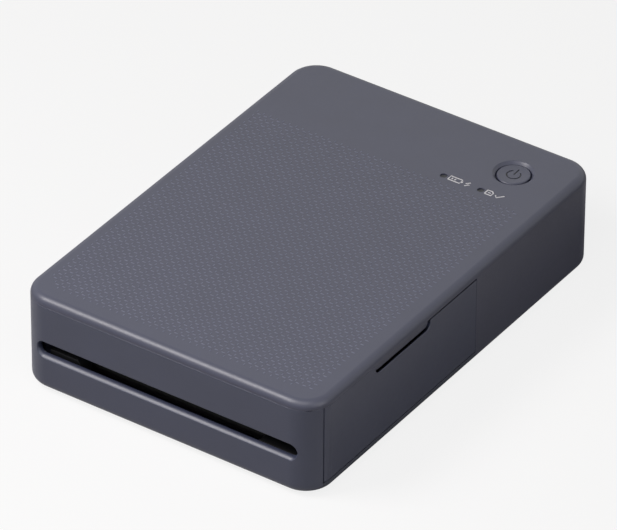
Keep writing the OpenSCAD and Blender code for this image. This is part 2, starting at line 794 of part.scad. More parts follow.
// Outline of a side frame in the YZ plane
module frame_outline() {
    step_y = board_y0 - 1.5;
    polygon([
        [frame_y0, z_floor],
        [turn_at[0] + 6.5, z_floor],
        [turn_at[0] + 6.5, board_z],
        [step_y, board_z],
        [step_y, z_ceiling - 0.4],
        [frame_y0 + 4, z_ceiling - 0.4],
        [frame_y0, z_ceiling - 5]
    ]);
}

// Holes that both side frames share
module frame_holes() {
    for (at = [feed_at, platen_at, pickup_at]) translate(at) circle(bush_r);
    translate(pinch_at) circle(1 + run_gap);
    for (at = tie_at) translate(at) circle(tie_r);
}

module frame_tabs(s) {
    for (y = frame_tab_ys) translate([s > 0 ? frame_out - tiny : -frame_out - 3, y - 3, z_floor])
        cube([3 + tiny, 6, 1]);
}

module frame_left() {
    color([0.68, 0.69, 0.71]) difference() {
        union() {
            along_x([0, 0], -frame_out) linear_extrude(frame_t) difference() {
                frame_outline();
                frame_holes();
                for (at = [feed_motor_at, ribbon_motor_at, lift_motor_at]) translate(at) circle(1.6);
                translate(arm_pivot) circle(sleeve_r + run_gap);
                for (at = [reduction_at, idler_at]) translate(at) circle(0.8);
                translate(takeup_at) circle(3 + run_gap);
                translate(supply_at) circle(stub_r);
            }
            frame_tabs(-1);
        }
        for (p = frame_screw_spots) translate([p[0], p[1], z_floor - 1]) cylinder(r = 0.9, h = 3);
    }
}

module frame_right() {
    color([0.68, 0.69, 0.71]) difference() {
        union() {
            along_x([0, 0], frame_in) linear_extrude(frame_t) difference() {
                frame_outline();
                frame_holes();
                translate(arm_pivot) circle(shaft_r);
                // way in for the ink cassette
                translate([supply_at[0] - tube_r - 0.8, z_path + 0.3])
                    square([spool_pitch + 2 * tube_r + 1.6, spool_z + tube_r + 0.5 - z_path - 0.3]);
            }
            frame_tabs(1);
        }
        for (p = frame_screw_spots) translate([p[0], p[1], z_floor - 1]) cylinder(r = 0.9, h = 3);
    }
}

module frame_screws() {
    color([0.75, 0.75, 0.77]) for (p = frame_screw_spots) translate([p[0], p[1], 0]) difference() {
        union() {
            translate([0, 0, z_under + 0.5]) cylinder(r = 0.7, h = floor_t + 1);
            translate([0, 0, z_floor + 1]) cylinder(r = 1.3, h = 0.8);
        }
        for (a = [0, 90]) rotate(a) translate([-0.8, -0.15, z_floor + 1.4]) cube([1.6, 0.3, 1]);
    }
}

module tie_rods() {
    color([0.75, 0.75, 0.77]) for (at = tie_at) {
        rod_x(at, tie_r, -frame_out - 0.1, frame_out + 0.1);
        rod_x(at, 1.8, -frame_in, frame_in);
    }
}

// Upper deck that carries the paper from the turn guide to the platen
module path_plate() {
    deck_t = 0.8;
    deck_top = z_path - 0.5;
    deck_y0 = platen_at[0] + platen_r + 1;
    rib_t = 0.6;
    rib_inset = 2;
    rib_pitch = (frame_span - 2) / 7;
    color([0.2, 0.21, 0.23]) difference() {
        union() {
            translate([-frame_in, deck_y0, deck_top - deck_t])
                cube([frame_span, turn_at[0] - deck_y0, deck_t]);
            // rounded nose that the paper turns on
            along_x(turn_at, -frame_in) linear_extrude(frame_span) intersection() {
                difference() {
                    circle(turn_r - 0.5);
                    circle(turn_r - 0.5 - deck_t);
                }
                translate([0, -20]) square([20, 40]);
            }
            // ribs on the deck
            for (i = [-2.5 : 2.5])
                translate([i * rib_pitch - rib_t / 2, deck_y0 + rib_inset, deck_top - tiny])
                    cube([rib_t, turn_at[0] - deck_y0 - 2 * rib_inset, 0.2]);
        }
    }
}

// Curved outer wall that turns the paper from the compartment up to the deck
module turn_guide() {
    color([0.2, 0.21, 0.23]) {
        along_x(turn_at, -frame_in) linear_extrude(frame_span) {
            intersection() {
                difference() {
                    circle(turn_r + 1.3);
                    circle(turn_r + 0.5);
                }
                translate([0, -20]) square([20, 40]);
            }
        }
        for (x = [-frame_in, -1, frame_in - 2]) translate([x, turn_at[0] + 1.4, z_floor])
            cube([2, 3, turn_at[1] - turn_r - 0.9 - z_floor]);
    }
}

module roller_bushes() {
    color([0.85, 0.83, 0.75]) for (at = [feed_at, platen_at, pickup_at]) for (s = [-1, 1]) {
        r_in = (at == platen_at ? 1.5 : shaft_r) + run_gap;
        along_x(at, s < 0 ? -frame_out : frame_in) difference() {
            union() {
                cylinder(r = bush_r, h = frame_t);
                translate([0, 0, s < 0 ? frame_t : -bush_flange_t])
                    cylinder(r = bush_flange_r, h = bush_flange_t);
            }
            translate([0, 0, -1]) cylinder(r = r_in, h = frame_t + 2);
        }
    }
}

module feed_roller() {
    color([0.3, 0.3, 0.32]) {
        rod_x(feed_at, feed_r, -roller_half, roller_half);
        rod_x(feed_at, shaft_r, gear_x - 0.1, frame_out + 0.4);
        // belt pulley
        rod_x(feed_at, pulley_r, belt_x, belt_x + gear_t);
    }
}

module feed_gear() {
    color([0.92, 0.92, 0.9]) difference() {
        gear_x_axis(feed_at, feed_teeth, gear_x, bearing(feed_at, reduction_at));
        rod_x(feed_at, shaft_r, gear_x - 1, gear_x + gear_t + 1);
    }
}

module pinch_roller() {
    color([0.25, 0.25, 0.27]) {
        rod_x(pinch_at, pinch_r, -roller_half + 4, roller_half - 4);
        rod_x(pinch_at, 1, -frame_out - 0.3, frame_out + 0.3);
    }
}

module platen_roller() {
    color([0.12, 0.12, 0.13]) {
        rod_x(platen_at, platen_r, -roller_half, roller_half);
        rod_x(platen_at, 1.5, -frame_out - 0.3, frame_out + 0.4);
    }
}

module pickup_roller() {
    tyre_w = 10;
    color([0.15, 0.15, 0.16]) {
        rod_x(pickup_at, shaft_r, belt_x - 0.1, frame_out + 0.4);
        rod_x(pickup_at, pulley_r, belt_x, belt_x + gear_t);
        for (x = [-18, 8]) rod_x(pickup_at, pickup_r, x, x + tyre_w);
    }
}

// Flat belt round the feed roller's and the pickup roller's pulleys
module transfer_belt() {
    len = norm(pickup_at - feed_at);
    color([0.1, 0.1, 0.1]) along_x(feed_at, belt_x + 0.15) rotate(bearing(feed_at, pickup_at))
        linear_extrude(gear_t - 0.3) difference() {
            belt_loop(pulley_r + run_gap + belt_t, len);
            belt_loop(pulley_r + run_gap, len);
        }
}

module belt_loop(r, len) {
    circle(r);
    translate([len, 0]) circle(r);
    translate([0, -r]) square([len, 2 * r]);
}

// Motor body with its nose through the left frame
module motor(at, r, len) {
    rod_x(at, r, -frame_in, -frame_in + len);
    rod_x(at, r * 0.45, -frame_in + len - tiny, -frame_in + len + 1);
    rod_x(at, 1.6, -frame_out, -frame_in + tiny);
}

module feed_motor() {
    color([0.72, 0.73, 0.75]) difference() {
        motor(feed_motor_at, motor_r, motor_len);
        rod_x(feed_motor_at, 0.75 + run_gap, -frame_out - 1, -frame_in + 4);
    }
}

module feed_pinion() {
    color([0.8, 0.7, 0.4]) {
        gear_x_axis(feed_motor_at, pinion_teeth, outer_gear_x,
            bearing(feed_motor_at, reduction_at) + 180 / pinion_teeth);
        rod_x(feed_motor_at, 0.75, outer_gear_x, -frame_in + 3.5);
    }
}

module reduction_gear() {
    color([0.92, 0.92, 0.9]) difference() {
        union() {
            gear_x_axis(reduction_at, reduction_big, outer_gear_x, bearing(reduction_at, feed_motor_at));
            gear_x_axis(reduction_at, reduction_small, gear_x - 0.21,
                bearing(reduction_at, feed_at) + 180 / reduction_small, gear_t + 0.21);
        }
        rod_x(reduction_at, 0.8 + run_gap, outer_gear_x - 1, gear_x + gear_t + 1);
    }
}

// Fixed axles of the two loose gears and the supply spool's stub
module gear_axles() {
    color([0.75, 0.75, 0.77]) for (at = [reduction_at, idler_at]) {
        rod_x(at, 0.8, outer_gear_x - 0.1, -frame_in + 0.2);
        rod_x(at, 1.5, -frame_out - 0.3, -frame_out);
    }
    // stub that centres the supply spool
    color([0.75, 0.75, 0.77]) rod_x(supply_at, stub_r, -frame_out, cassette_left + 1.5);
}

module head_pivot_shaft() {
    color([0.75, 0.75, 0.77]) rod_x(arm_pivot, shaft_r, -frame_out - gear_t * 2 - 1.2, frame_out + 0.4);
}

// Wedge that keeps only the teeth near the lift pinion
module sector_wedge() {
    reach = pitch_r(sector_teeth) + 3;
    half = 2 * 360 / sector_teeth;
    polygon([
        [-3, -2.6],
        reach * [cos(half), -sin(half)],
        [reach, 0],
        reach * [cos(half), sin(half)],
        [-3, 2.6]
    ]);
}

// Arm that swings the print head up and down about its rear shaft
module head_arm() {
    arm_y0 = platen_at[0] - 7;
    cheek_r = 2.5;
    window = [8, 12];
    color([0.66, 0.67, 0.69]) difference() {
        union() {
            translate([-arm_half, arm_y0, arm_z])
                cube([2 * arm_half, arm_pivot[0] + cheek_r - arm_y0, arm_t]);
            // rear cheeks round the shaft
            for (s = [-1, 1]) along_x(arm_pivot, s > 0 ? arm_half - 1 : -arm_half) linear_extrude(1) {
                circle(cheek_r);
                translate([-cheek_r, 0]) square([2 * cheek_r, arm_z - arm_pivot[1] + tiny]);
            }
            // front cheeks that hold the heat sink
            for (s = [-1, 1]) translate([s > 0 ? arm_half - 1 : -arm_half, arm_y0, sink_z + 1])
                cube([1, 14, arm_z - sink_z - 1 + tiny]);
            // toothed sector outside the left frame
            along_x(arm_pivot, gear_x) linear_extrude(gear_t) intersection() {
                rotate(180 / sector_teeth) polygon(gear_points(sector_teeth));
                sector_wedge();
            }
            // sleeve from the sector through the frame to the left cheek
            rod_x(arm_pivot, sleeve_r, gear_x, -arm_half);
        }
        rod_x(arm_pivot, shaft_r + run_gap, -half_w, half_w);
        for (i = [-2 : 2])
            translate([i * (arm_half + 10.5) / 4 - window[0] / 2, takeup_at[0] - 4, arm_z - 1])
                cube([window[0], window[1], 3]);
    }
}

module heat_sink() {
    sink_w = 12;
    sink_y0 = platen_at[0] - sink_w / 2;
    fin_pitch = 2.2;
    color([0.8, 0.81, 0.83]) difference() {
        translate([-arm_half + 1, sink_y0, sink_z]) cube([2 * arm_half - 2, sink_w, sink_h]);
        for (i = [0 : 4]) translate([-arm_half, sink_y0 + 1 + i * fin_pitch, sink_z + 2])
            cube([2 * arm_half, fin_pitch / 2, sink_h]);
    }
}

module thermal_head() {
    color([0.9, 0.9, 0.88]) {
        translate([-head_half, platen_at[0] - head_bar_w / 2, head_z + 0.4])
            cube([2 * head_half, head_bar_w, bar_t - 0.4]);
        // glazed ridge that presses on the ribbon
        rod_x([platen_at[0], head_z + 0.5], 0.5, -head_half + 0.5, head_half - 0.5);
    }
}

module head_springs() {
    color([0.75, 0.75, 0.76]) for (x = [-24, 24]) translate([x, platen_at[0] + 0.1, sink_z + sink_h])
        coil(2.6, 0.3, 3, arm_z - sink_z - sink_h);
}

module head_cable() {
    y0 = platen_at[0] - 7.2;
    low = sink_z - 0.6;
    top = arm_z + arm_t;
    color([0.75, 0.5, 0.2]) translate([flex_x - flex_w / 2, 0, 0]) {
        translate([0, y0, top]) cube([flex_w, arm_pivot[0] - 10 - y0, flex_t]);
        translate([0, y0, low]) cube([flex_w, flex_t, top + flex_t - low]);
        translate([0, y0, low]) cube([flex_w, 7.2 - head_bar_w / 2, flex_t]);
    }
}

module board_cable() {
    y0 = arm_pivot[0] - 9.6;
    y1 = board_y0 + 6;
    low = board_z + board_t + 1;
    top = arm_z + arm_t + 0.25;
    color([0.75, 0.5, 0.2]) translate([flex_x - flex_w / 2, 0, 0]) {
        translate([0, y0, top]) cube([flex_w, y1 - y0, flex_t]);
        translate([0, y1 - flex_t, low]) cube([flex_w, flex_t, top + flex_t - low]);
    }
}

module lift_motor() {
    color([0.72, 0.73, 0.75]) difference() {
        motor(lift_motor_at, 4, motor_len);
        rod_x(lift_motor_at, 0.75 + run_gap, -frame_out - 1, -frame_in + 4);
    }
}

module lift_pinion() {
    color([0.8, 0.7, 0.4]) {
        gear_x_axis(lift_motor_at, lift_teeth, gear_x, 180);
        rod_x(lift_motor_at, 0.75, gear_x, -frame_in + 3.5);
    }
}

module ribbon_motor() {
    color([0.72, 0.73, 0.75]) difference() {
        motor(ribbon_motor_at, motor_r, motor_len);
        rod_x(ribbon_motor_at, 0.75 + run_gap, -frame_out - 1, -frame_in + 4);
    }
}

module ribbon_pinion() {
    color([0.8, 0.7, 0.4]) {
        gear_x_axis(ribbon_motor_at, pinion_teeth, outer_gear_x, 180 + 180 / pinion_teeth);
        rod_x(ribbon_motor_at, 0.75, outer_gear_x, -frame_in + 3.5);
    }
}

module ribbon_idler() {
    color([0.92, 0.92, 0.9]) difference() {
        gear_x_axis(idler_at, idler_teeth, outer_gear_x, 0);
        rod_x(idler_at, 0.8 + run_gap, outer_gear_x - 1, outer_gear_x + gear_t + 1);
    }
}

// Drive gear, sleeve and dog that turn the take-up spool
module takeup_gear() {
    color([0.92, 0.92, 0.9]) {
        gear_x_axis(takeup_at, takeup_teeth, outer_gear_x, 180 / takeup_teeth);
        rod_x(takeup_at, 3, outer_gear_x + gear_t - tiny, -frame_in + 0.3);
        along_x(takeup_at, -frame_in) linear_extrude(spool_left + 1.8 + frame_in) dog_outline(0);
    }
}

// Cross-shaped dog that fits the spool's end
module dog_outline(gap) {
    for (a = [0, 90]) rotate(a) square([3 + 2 * gap, 1 + 2 * gap], center = true);
}

module cassette_shell() {
    inner = tube_r - tube_wall;
    grip = 6;
    color([0.16, 0.17, 0.19]) difference() {
        union() {
            for (at = [takeup_at, supply_at]) rod_x(at, tube_r, cassette_left, cassette_right);
            // low bridge at the leading end
            translate([cassette_left, supply_at[0], z_bridge]) cube([1.2, spool_pitch, bridge_t]);
            // end plate with a grip
            along_x([0, 0], cassette_right - tiny) linear_extrude(end_plate_t) {
                for (at = [takeup_at, supply_at]) translate(at) circle(tube_r);
                translate([supply_at[0], spool_z - tube_r]) square([spool_pitch, 2 * tube_r]);
            }
        }
        for (at = [takeup_at, supply_at]) rod_x(at, inner, spool_left, spool_right + 0.2);
        // spool ends
        rod_x(takeup_at, core_r + run_gap, cassette_left - 1, spool_left + 1);
        rod_x(supply_at, core_r + run_gap, cassette_left - 1, spool_left + 1);
        for (at = [takeup_at, supply_at]) rod_x(at, 1.2 + run_gap, spool_right, spool_right + 1.6);
        // slits where the ribbon leaves and enters
        for (s = [-1, 1]) {
            at = s < 0 ? supply_at : takeup_at;
            translate([spool_left, at[0] + (s < 0 ? 0.5 : -tube_r - 1), at[1] - tube_r - 1])
                cube([spool_right - spool_left, tube_r + 0.5, tube_r - 0.5]);
        }
        // finger grip in the end plate
        translate([cassette_right + end_plate_t - 0.8, platen_at[0], spool_z]) rotate([0, 90, 0])
            cylinder(r = grip, h = 2);
        // relief for the eject lever's finger
        translate([cassette_right - 1.6, eject_at[1] - eject_finger - 0.5, eject_z0 - 0.4])
            cube([2.35, eject_finger, eject_h + 0.8]);
    }
}

module spool(at) {
    rod_x(at, core_r, cassette_left, spool_right - 0.1);
    rod_x(at, roll_r, spool_left + 1.4, spool_right - 1.4);
    rod_x(at, 1.2, spool_right - 0.2, spool_right + 1.4);
}

module takeup_spool() {
    color([0.3, 0.3, 0.32]) difference() {
        spool(takeup_at);
        along_x(takeup_at, cassette_left - 1) linear_extrude(4) dog_outline(0.12);
    }
}

module supply_spool() {
    color([0.3, 0.3, 0.32]) difference() {
        spool(supply_at);
        rod_x(supply_at, stub_r + run_gap, cassette_left - 1, cassette_left + 2);
    }
}

// Point where the line from p touches the circle round c from below
function tangent_low(p, c, r, side) =
    let (d = norm(c - p), a = bearing(p, c), b = asin(r / d), len = sqrt(d * d - r * r))
    p + len * [cos(a + side * b), sin(a + side * b)];

module ribbon_film() {
    z_film = z_path + paper_room / 2 + 0.1;
    flat = 1.5;
    gap = 0.15;
    pa = [platen_at[0] - flat, z_film];
    pb = [platen_at[0] + flat, z_film];
    ta = tangent_low(pa, supply_at, roll_r + gap, 1);
    tb = tangent_low(pb, takeup_at, roll_r + gap, -1);
    lift = [0, film_t];
    color([0.25, 0.2, 0.35]) along_x([0, 0], spool_left + 2) linear_extrude(spool_right - spool_left - 4)
        polygon([ta, pa, pb, tb, tb + lift, pb + lift, pa + lift, ta + lift]);
}

// Sheet lever that pushes the cassette out from behind its end plate
module eject_lever() {
    color([0.7, 0.71, 0.73]) translate([eject_at[0], eject_at[1], eject_z0]) difference() {
        union() {
            cylinder(r = 1.3, h = eject_h);
            translate([-1.25, -eject_finger, 0.6]) cube([eject_sheet, eject_finger, eject_h - 1.2]);
            rotate(-30) translate([-eject_sheet / 2, 0, 0.6]) cube([eject_sheet, 4.2, eject_h - 1.2]);
        }
        translate([0, 0, -1]) cylinder(r = eject_pin_r + run_gap, h = eject_h + 2);
    }
}

// Pin of the eject lever, on ears of the right frame
module eject_pivot() {
    color([0.75, 0.75, 0.77]) {
        translate([eject_at[0], eject_at[1], eject_z0 - 1]) cylinder(r = eject_pin_r, h = eject_h + 2);
        for (z = [eject_z0 - 0.9, eject_z0 + eject_h + 0.1]) translate([frame_out, eject_at[1] - 1.2, z])
            cube([2.6, 2.4, 0.8]);
    }
}

module main_board() {
    color([0.1, 0.35, 0.2]) difference() {
        translate([-board_half, board_y0, board_z]) cube([2 * board_half, board_y1 - board_y0, board_t]);
        for (p = boss_spots) translate([p[0], p[1], board_z - 1])
            cylinder(r = boss_r + 0.6, h = board_t + 2);
        for (s = [-1, 1]) translate([s * (board_half - 3), board_y0 + 3, board_z - 1])
            cylinder(r = 0.9, h = board_t + 2);
    }
}

module board_chips() {
    top = board_z + board_t;
    left = -board_half + 6;
    color([0.08, 0.08, 0.09]) {
        translate([left + 16, board_y0 + 10, top]) cube([12, 12, 1.2]);
        translate([left, board_y0 + 12, top]) cube([8, 6, 1]);
        translate([flex_x + 2, board_y0 + 14, top]) cube([7, 5, 1]);
        translate([flex_x - flex_w / 2 - 1, board_y0 + 1.5, top]) cube([flex_w + 2, 4.3, 1]);
        for (i = [0 : 2]) translate([left + 6 * i, board_y0 + 24, top]) cylinder(r = 1.8, h = 2.6);
    }
}

module board_screws() {
    color([0.75, 0.75, 0.77]) for (s = [-1, 1])
        translate([s * (board_half - 3), board_y0 + 3, board_z + board_t]) {
            cylinder(r = 1.5, h = 0.8);
            translate([0, 0, -4]) cylinder(r = 0.8, h = 4 + tiny);
            translate([0, 0, -board_t - 2.4]) cylinder(r = 1.6, h = 2.4);
        }
}

module usb_socket() {
    mouth_y = half_d - 0.6;
    color([0.78, 0.79, 0.8]) difference() {
        usb_bar(usb_w, usb_h, mouth_y, usb_len);
        difference() {
            usb_bar(usb_w - 2 * usb_sheet, usb_h - 2 * usb_sheet, mouth_y + 1, usb_len - 1);
            translate([usb_x - 3.35, mouth_y - usb_len, usb_z - 0.35]) cube([6.7, usb_len - 1, 0.7]);
        }
    }
}

module battery_pack() {
    color([0.2, 0.35, 0.6]) translate([battery_x, (battery_y0 + battery_y1) / 2, z_floor])
        rounded_plate(battery_half, (battery_y1 - battery_y0) / 2, battery_h, 1.5);
}

top_cover();
front_panel();
base_tray();
rubber_feet();
case_screws();
ink_door();
door_hinge_pins();
paper_cover();
cover_hinge_pins();
lift_plate();
lift_plate_spring();
exit_guides();
power_button();
button_spring();
power_switch();
lamp_lenses();
status_leds();
frame_left();
frame_right();
frame_screws();
tie_rods();
path_plate();
turn_guide();
roller_bushes();
feed_roller();
feed_gear();
pinch_roller();
platen_roller();
pickup_roller();
transfer_belt();
feed_motor();
feed_pinion();
reduction_gear();
gear_axles();
head_arm();
head_pivot_shaft();
heat_sink();
thermal_head();
head_springs();
head_cable();
board_cable();
lift_motor();
lift_pinion();
ribbon_motor();
ribbon_pinion();
ribbon_idler();
takeup_gear();
cassette_shell();
takeup_spool();
supply_spool();
ribbon_film();
eject_lever();
eject_pivot();
main_board();
board_chips();
usb_socket();
battery_pack();
board_screws();
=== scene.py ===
import json
import math

import bmesh
import bpy
from mathutils import Matrix, Vector


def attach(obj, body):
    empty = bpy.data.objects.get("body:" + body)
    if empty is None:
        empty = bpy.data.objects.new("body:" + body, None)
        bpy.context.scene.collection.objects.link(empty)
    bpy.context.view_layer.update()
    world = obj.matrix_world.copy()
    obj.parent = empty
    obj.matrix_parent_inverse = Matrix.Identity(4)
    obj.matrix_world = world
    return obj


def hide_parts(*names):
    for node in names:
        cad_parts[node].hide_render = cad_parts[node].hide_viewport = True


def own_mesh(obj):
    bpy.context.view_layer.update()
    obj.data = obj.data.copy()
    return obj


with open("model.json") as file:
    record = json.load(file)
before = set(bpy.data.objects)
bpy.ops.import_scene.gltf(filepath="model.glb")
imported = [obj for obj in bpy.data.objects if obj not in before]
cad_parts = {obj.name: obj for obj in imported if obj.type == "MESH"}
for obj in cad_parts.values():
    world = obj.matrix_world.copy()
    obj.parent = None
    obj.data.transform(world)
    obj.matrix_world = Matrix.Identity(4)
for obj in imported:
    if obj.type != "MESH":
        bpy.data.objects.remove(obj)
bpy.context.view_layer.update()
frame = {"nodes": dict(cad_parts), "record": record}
MM = 0.001

# Sizes are in millimetres up to mesh_object(), which turns them into metres; lamps are in metres.

# ---- casing; the outer sizes are the solids' own, the edge rounds are this scene's
HALF_W, HALF_D = 51.1, 72.9
WALL = 2.0
INNER_W, INNER_D = HALF_W - WALL, HALF_D - WALL
CORNER_R, INNER_R = 9.0, 7.0
TOP_ROUND, BOTTOM_ROUND = (2.55, 2.55), (1.9, 2.4)
Z_UNDER, Z_FLOOR, Z_CEILING, Z_TOP = 1.4, 3.0, 30.9, 32.9
Z_SEAM, SEAM_LINE = 30.15, 0.05
FIT_GAP = 0.1
PAST_X, PAST_Y, PAST_Z = 60, 80, -5     # beyond the casing, for the tools that cut it
OVER = 1                                # how far a tool reaches past what it cuts
ROOTED = 0.3                            # how far a joined piece reaches into the wall

# ---- edge rounds: the usual one, and those of particular edges
EDGE, SEAM_EDGE, FRONT_SEAM_EDGE, NOTCH_EDGE = 0.12, 0.04, 0.28, 0.17
TRAY_EDGE, GUIDE_EDGE = 0.1, 0.15
# how near to their plane, and how far along, an edge counts as one of those
SEAM_NEAR, SEAM_FRONT_Y = 0.05, -60
PANEL_NEAR, PANEL_OUTER = 0.01, 0.4
NOTCH_NEAR, NOTCH_ZONE = 0.1, 4

# ---- mesh detail
CORNER_STEPS, EDGE_STEPS, FINE_STEPS = 20, 8, 96
MERGE = 0.03
FLAT_DEGREES, SHARP_DEGREES = 0.2, 40
LEAST_R = 0.05

# ---- ink door
DOOR_Y0, DOOR_Y1 = -67.3, 8.8
DOOR_Z0, DOOR_Z1, DOOR_DROP = 4.3, 30.08, 0.46
DOOR_GAP, DOOR_REAR_GAP = 0.22, 0.06
DOOR_REACH, DOOR_CUT_Y0 = 5, -70        # the opening's cut starts in the front panel's room
DOOR_EDGE_R, DOOR_EDGE_STEP = 0.5, 15
HINGE_X, HINGE_Z = 49.1, 6.4
HINGE_YS = (-58.0, -2.0)
EAR_R, EAR_HALF = 1.6, 1.5
KNUCKLE_R, KNUCKLE_HALF, KNUCKLE_STEP = 1.52, 0.8, 2.3
PIN_HOLE_R, PIN_HOLE_HALF = 0.64, 3
NOTCH_Y0, NOTCH_Y1, NOTCH_R, NOTCH_DEEP, NOTCH_PAST = -42.5, -15.0, 2, 3.3, 0.5
TONGUE_DEEP, TONGUE_GAP, TONGUE_X = 2.5, 0.42, (INNER_W - 0.3, INNER_W + 1.4)
GRIP_MARGIN, GRIP_DEEP, GRIP_LIP = 0.5, 1.8, 0.4
SEAM_LIP, SEAM_DEEP, SEAM_END = 0.34, 0.8, 0.5
SEAM_RISE, SEAM_RISE_X, SEAM_RISE_Y0 = 0.12, INNER_W + 1, NOTCH_Y1 - 0.1

# ---- paper slot, the ledge behind the front panel, and the left guide block
Z_SLOT = 14.97
SLOT_HALF, SLOT_R = 44.55, 2.0
LIP_DEEP, LIP_ANGLE, LIP_STEPS = 2.0, 54, 8
LEDGE_HALF, LEDGE_DEEP, LEDGE_THICK = 42.0, 3, 0.8
GUIDE_END, GUIDE_SHIFT = (-30.5, -28), 2.8

# ---- springs that a joint presses: piece, node, body, joint, fixed end, share of its height kept
SPRINGS = (
    ("button_spring_coil", "button_spring", "case", "button_press", 25.65, 0.905),
    ("lift_spring_coil", "lift_plate_spring", "paper_cover", "lift_plate_tilt", 3.0, 0.08),
)

# ---- button and its dish
BUTTON = (32.66, 56.12)
BUTTON_R, BUTTON_GAP, BUTTON_SUNK = 5.0, 0.27, 0.58
STEM_R, STEM_LOW = 1.2, 28.1
FLANGE_DROP, FLANGE_THICK = 0.75, 0.7
BUTTON_RIM = (      # inward from the radius, down from the top
    (0, 0.25), (0.05, 0.19), (0.2, 0.05), (0.3, 0), (0.6, 0.02), (1.6, 0.1), (3.0, 0.16),
)
BUTTON_MIDDLE = (0.4, 0.18)
DISH_R, DISH_WALL, DISH_DEEP = 6.35, 0.8, 1.02
DISH_FOOT, DISH_LIP, DISH_PAST, HOLE_PAST = (0.16, 0.06), 0.02, 0.3, 0.5
COLLAR_WALL, COLLAR_DEEP, COLLAR_CLEAR = 1.2, 1.6, 0.2

# ---- lamps, screw posts and the charging port
LAMPS = ((16.75, 43.4), (29.6, 43.4))
LAMP_R, LAMP_SUNK, LAMP_LOW = 1.05, 0.3, 4.3
LAMP_GAP, LAMP_HOLE_GAP = 0.02, 0.03
LAMP_RIM = ((0, 0.3), (0.12, 0.38), (0.45, 0.5))
LAMP_MIDDLE = (0.15, 0.56)
SOCKET_WALL, SOCKET_DEEP = 1, 1
BOSSES = tuple((sx * 44.4, sy * 66.7) for sy in (-1, 1) for sx in (-1, 1))
BOSS_R, BOSS_LIFT, SCREW_R, SCREW_Z = 1.9, 0.5, 1.0, (2, 12)
LAMP_STEPS, SOCKET_STEPS, SCREW_STEPS = 40, 32, 24
USB_X, USB_Z, USB_W, USB_H = -25.0, 22.97, 8.94, 3.26
USB_GAP, USB_DEEP = 0.3, 4

# ---- power mark, and the printed marks as lines from their lamp's middle
MARK_R, MARK_STROKE, MARK_BAR = 2.075, 0.42, (0.1, 3.05)
MARK_ENDS = (125, 415)
MARK_DEEP, GROOVE_DARK_Z, GROOVE_DARK_GROW = 0.36, (0.4, 0.3), 0.02
PRINT_STROKE, PRINT_HALF = 0.42, 0.02
BATTERY_MARK = (
    ((1.9, -0.85), (5.9, -0.85), (5.9, 1.05), (1.9, 1.05), (1.9, -0.8)),
    ((6.3, -0.3), (6.3, 0.5)),
    ((2.9, -0.3), (2.9, 0.5)),
    ((3.9, -0.3), (3.9, 0.5)),
    ((8.6, 1.2), (7.5, 0.15), (8.8, 0.05), (7.7, -1.0)),
)
SHEET_MARK = (
    ((1.8, -0.9), (4.0, -0.9), (4.0, 0.5), (3.4, 1.1), (1.8, 1.1), (1.8, -0.85)),
    ((2.5, 0.1), (3.4, 0.1)),
    ((5.0, 0.1), (5.8, -0.85), (7.5, 1.1)),
)

# ---- raised pattern on the lid: long bars across, short bars between them
BAR_PITCH = 2.3
BARS_X1, BARS_Y1 = 44.3, 38.76
BAR_COLUMNS, BAR_ROWS = 40, 46
LONG_BAR = (1.2, 0.36)
SHORT_BAR = (0.34, 0.85)
SHORT_RISE = 1.0
BAR_HEIGHT, BAR_SUNK, BAR_INSET = 0.08, 0.06, 0.07
BAR_CORNER, BAR_SHOULDER = 0.9, 0.55    # shares of the half width and of the height
PATTERN_MARGIN, PATTERN_CORNER = (4.6, 5.6), 7.0
Z_LID = Z_TOP - BAR_HEIGHT

# ---- camera, fitted to the photograph's outline
CAM_AZ, CAM_EL, CAM_ROLL = 34.290, 35.332, 0.3385
CAM_DIST, CAM_TARGET_Z, CAM_CLIP_M = 2025.985, 17.4, 20
CAM_FOCAL_PX, CAM_CX, CAM_CY = 7024.0, 311.37, 270.6
PHOTO_W, PHOTO_H = 617, 530
SENSOR = 36.0

# ---- floor, world and lamps
FLOOR_HALF, FLOOR_DROP = 3e3, 0.02
FLOOR_ROUGH = 0.9
FLOOR_FOR_LIGHT, FLOOR_WHEN_SEEN = (0.3, 0.3, 0.31, 1), (0.95, 0.95, 0.95, 1)
FLOOR_GLOW = 0.84       # share of the glow in what the camera sees of the floor; the rest is lit
LAMP_TARGET = (0, -0.03, 0.03)
STUDIO_LAMPS = (        # name, place in metres, size in metres, power, tint
    ("key", (-0.253, -0.30, 0.445), 0.25, 1.98, (1, 0.96, 0.95)),
    ("front_near", (0.08, -0.20, 0.28), 0.2, 0.22, (1, 0.96, 0.95)),
    ("right_low", (0.5, -0.1, 0.25), 0.3, 0.39, (1, 0.99, 1)),
    ("back_left", (-0.35, 0.45, 0.4), 0.4, 0.05, (1, 1, 1)),
)

# ---- materials: the casing's colours and gloss, and pattern scales in features per metre
LID_BLUE, CASE_BLUE = (68, 71, 91), (63, 68, 90)
CASE_ROUGH, CASE_SPECULAR = 0.38, 0.7
MOTTLE_SCALE, GLOSS_SCALE, METAL_TINT_SCALE = 90, 700, 120
PLASTIC_BUMP, METAL_BUMP = 0.35, 0.4
TINT_FROM, TINT_TO = 0.3, 0.7


# ================================================================ meshes

def mesh_object(name, verts, faces):
    """A new object from points in millimetres."""
    mesh = bpy.data.meshes.new(name)
    mesh.from_pydata([(x * MM, y * MM, z * MM) for x, y, z in verts], [], faces)
    bm = bmesh.new()
    bm.from_mesh(mesh)
    bmesh.ops.recalc_face_normals(bm, faces=bm.faces)
    bm.to_mesh(mesh)
    bm.free()
    obj = bpy.data.objects.new(name, mesh)
    bpy.context.scene.collection.objects.link(obj)
    return obj


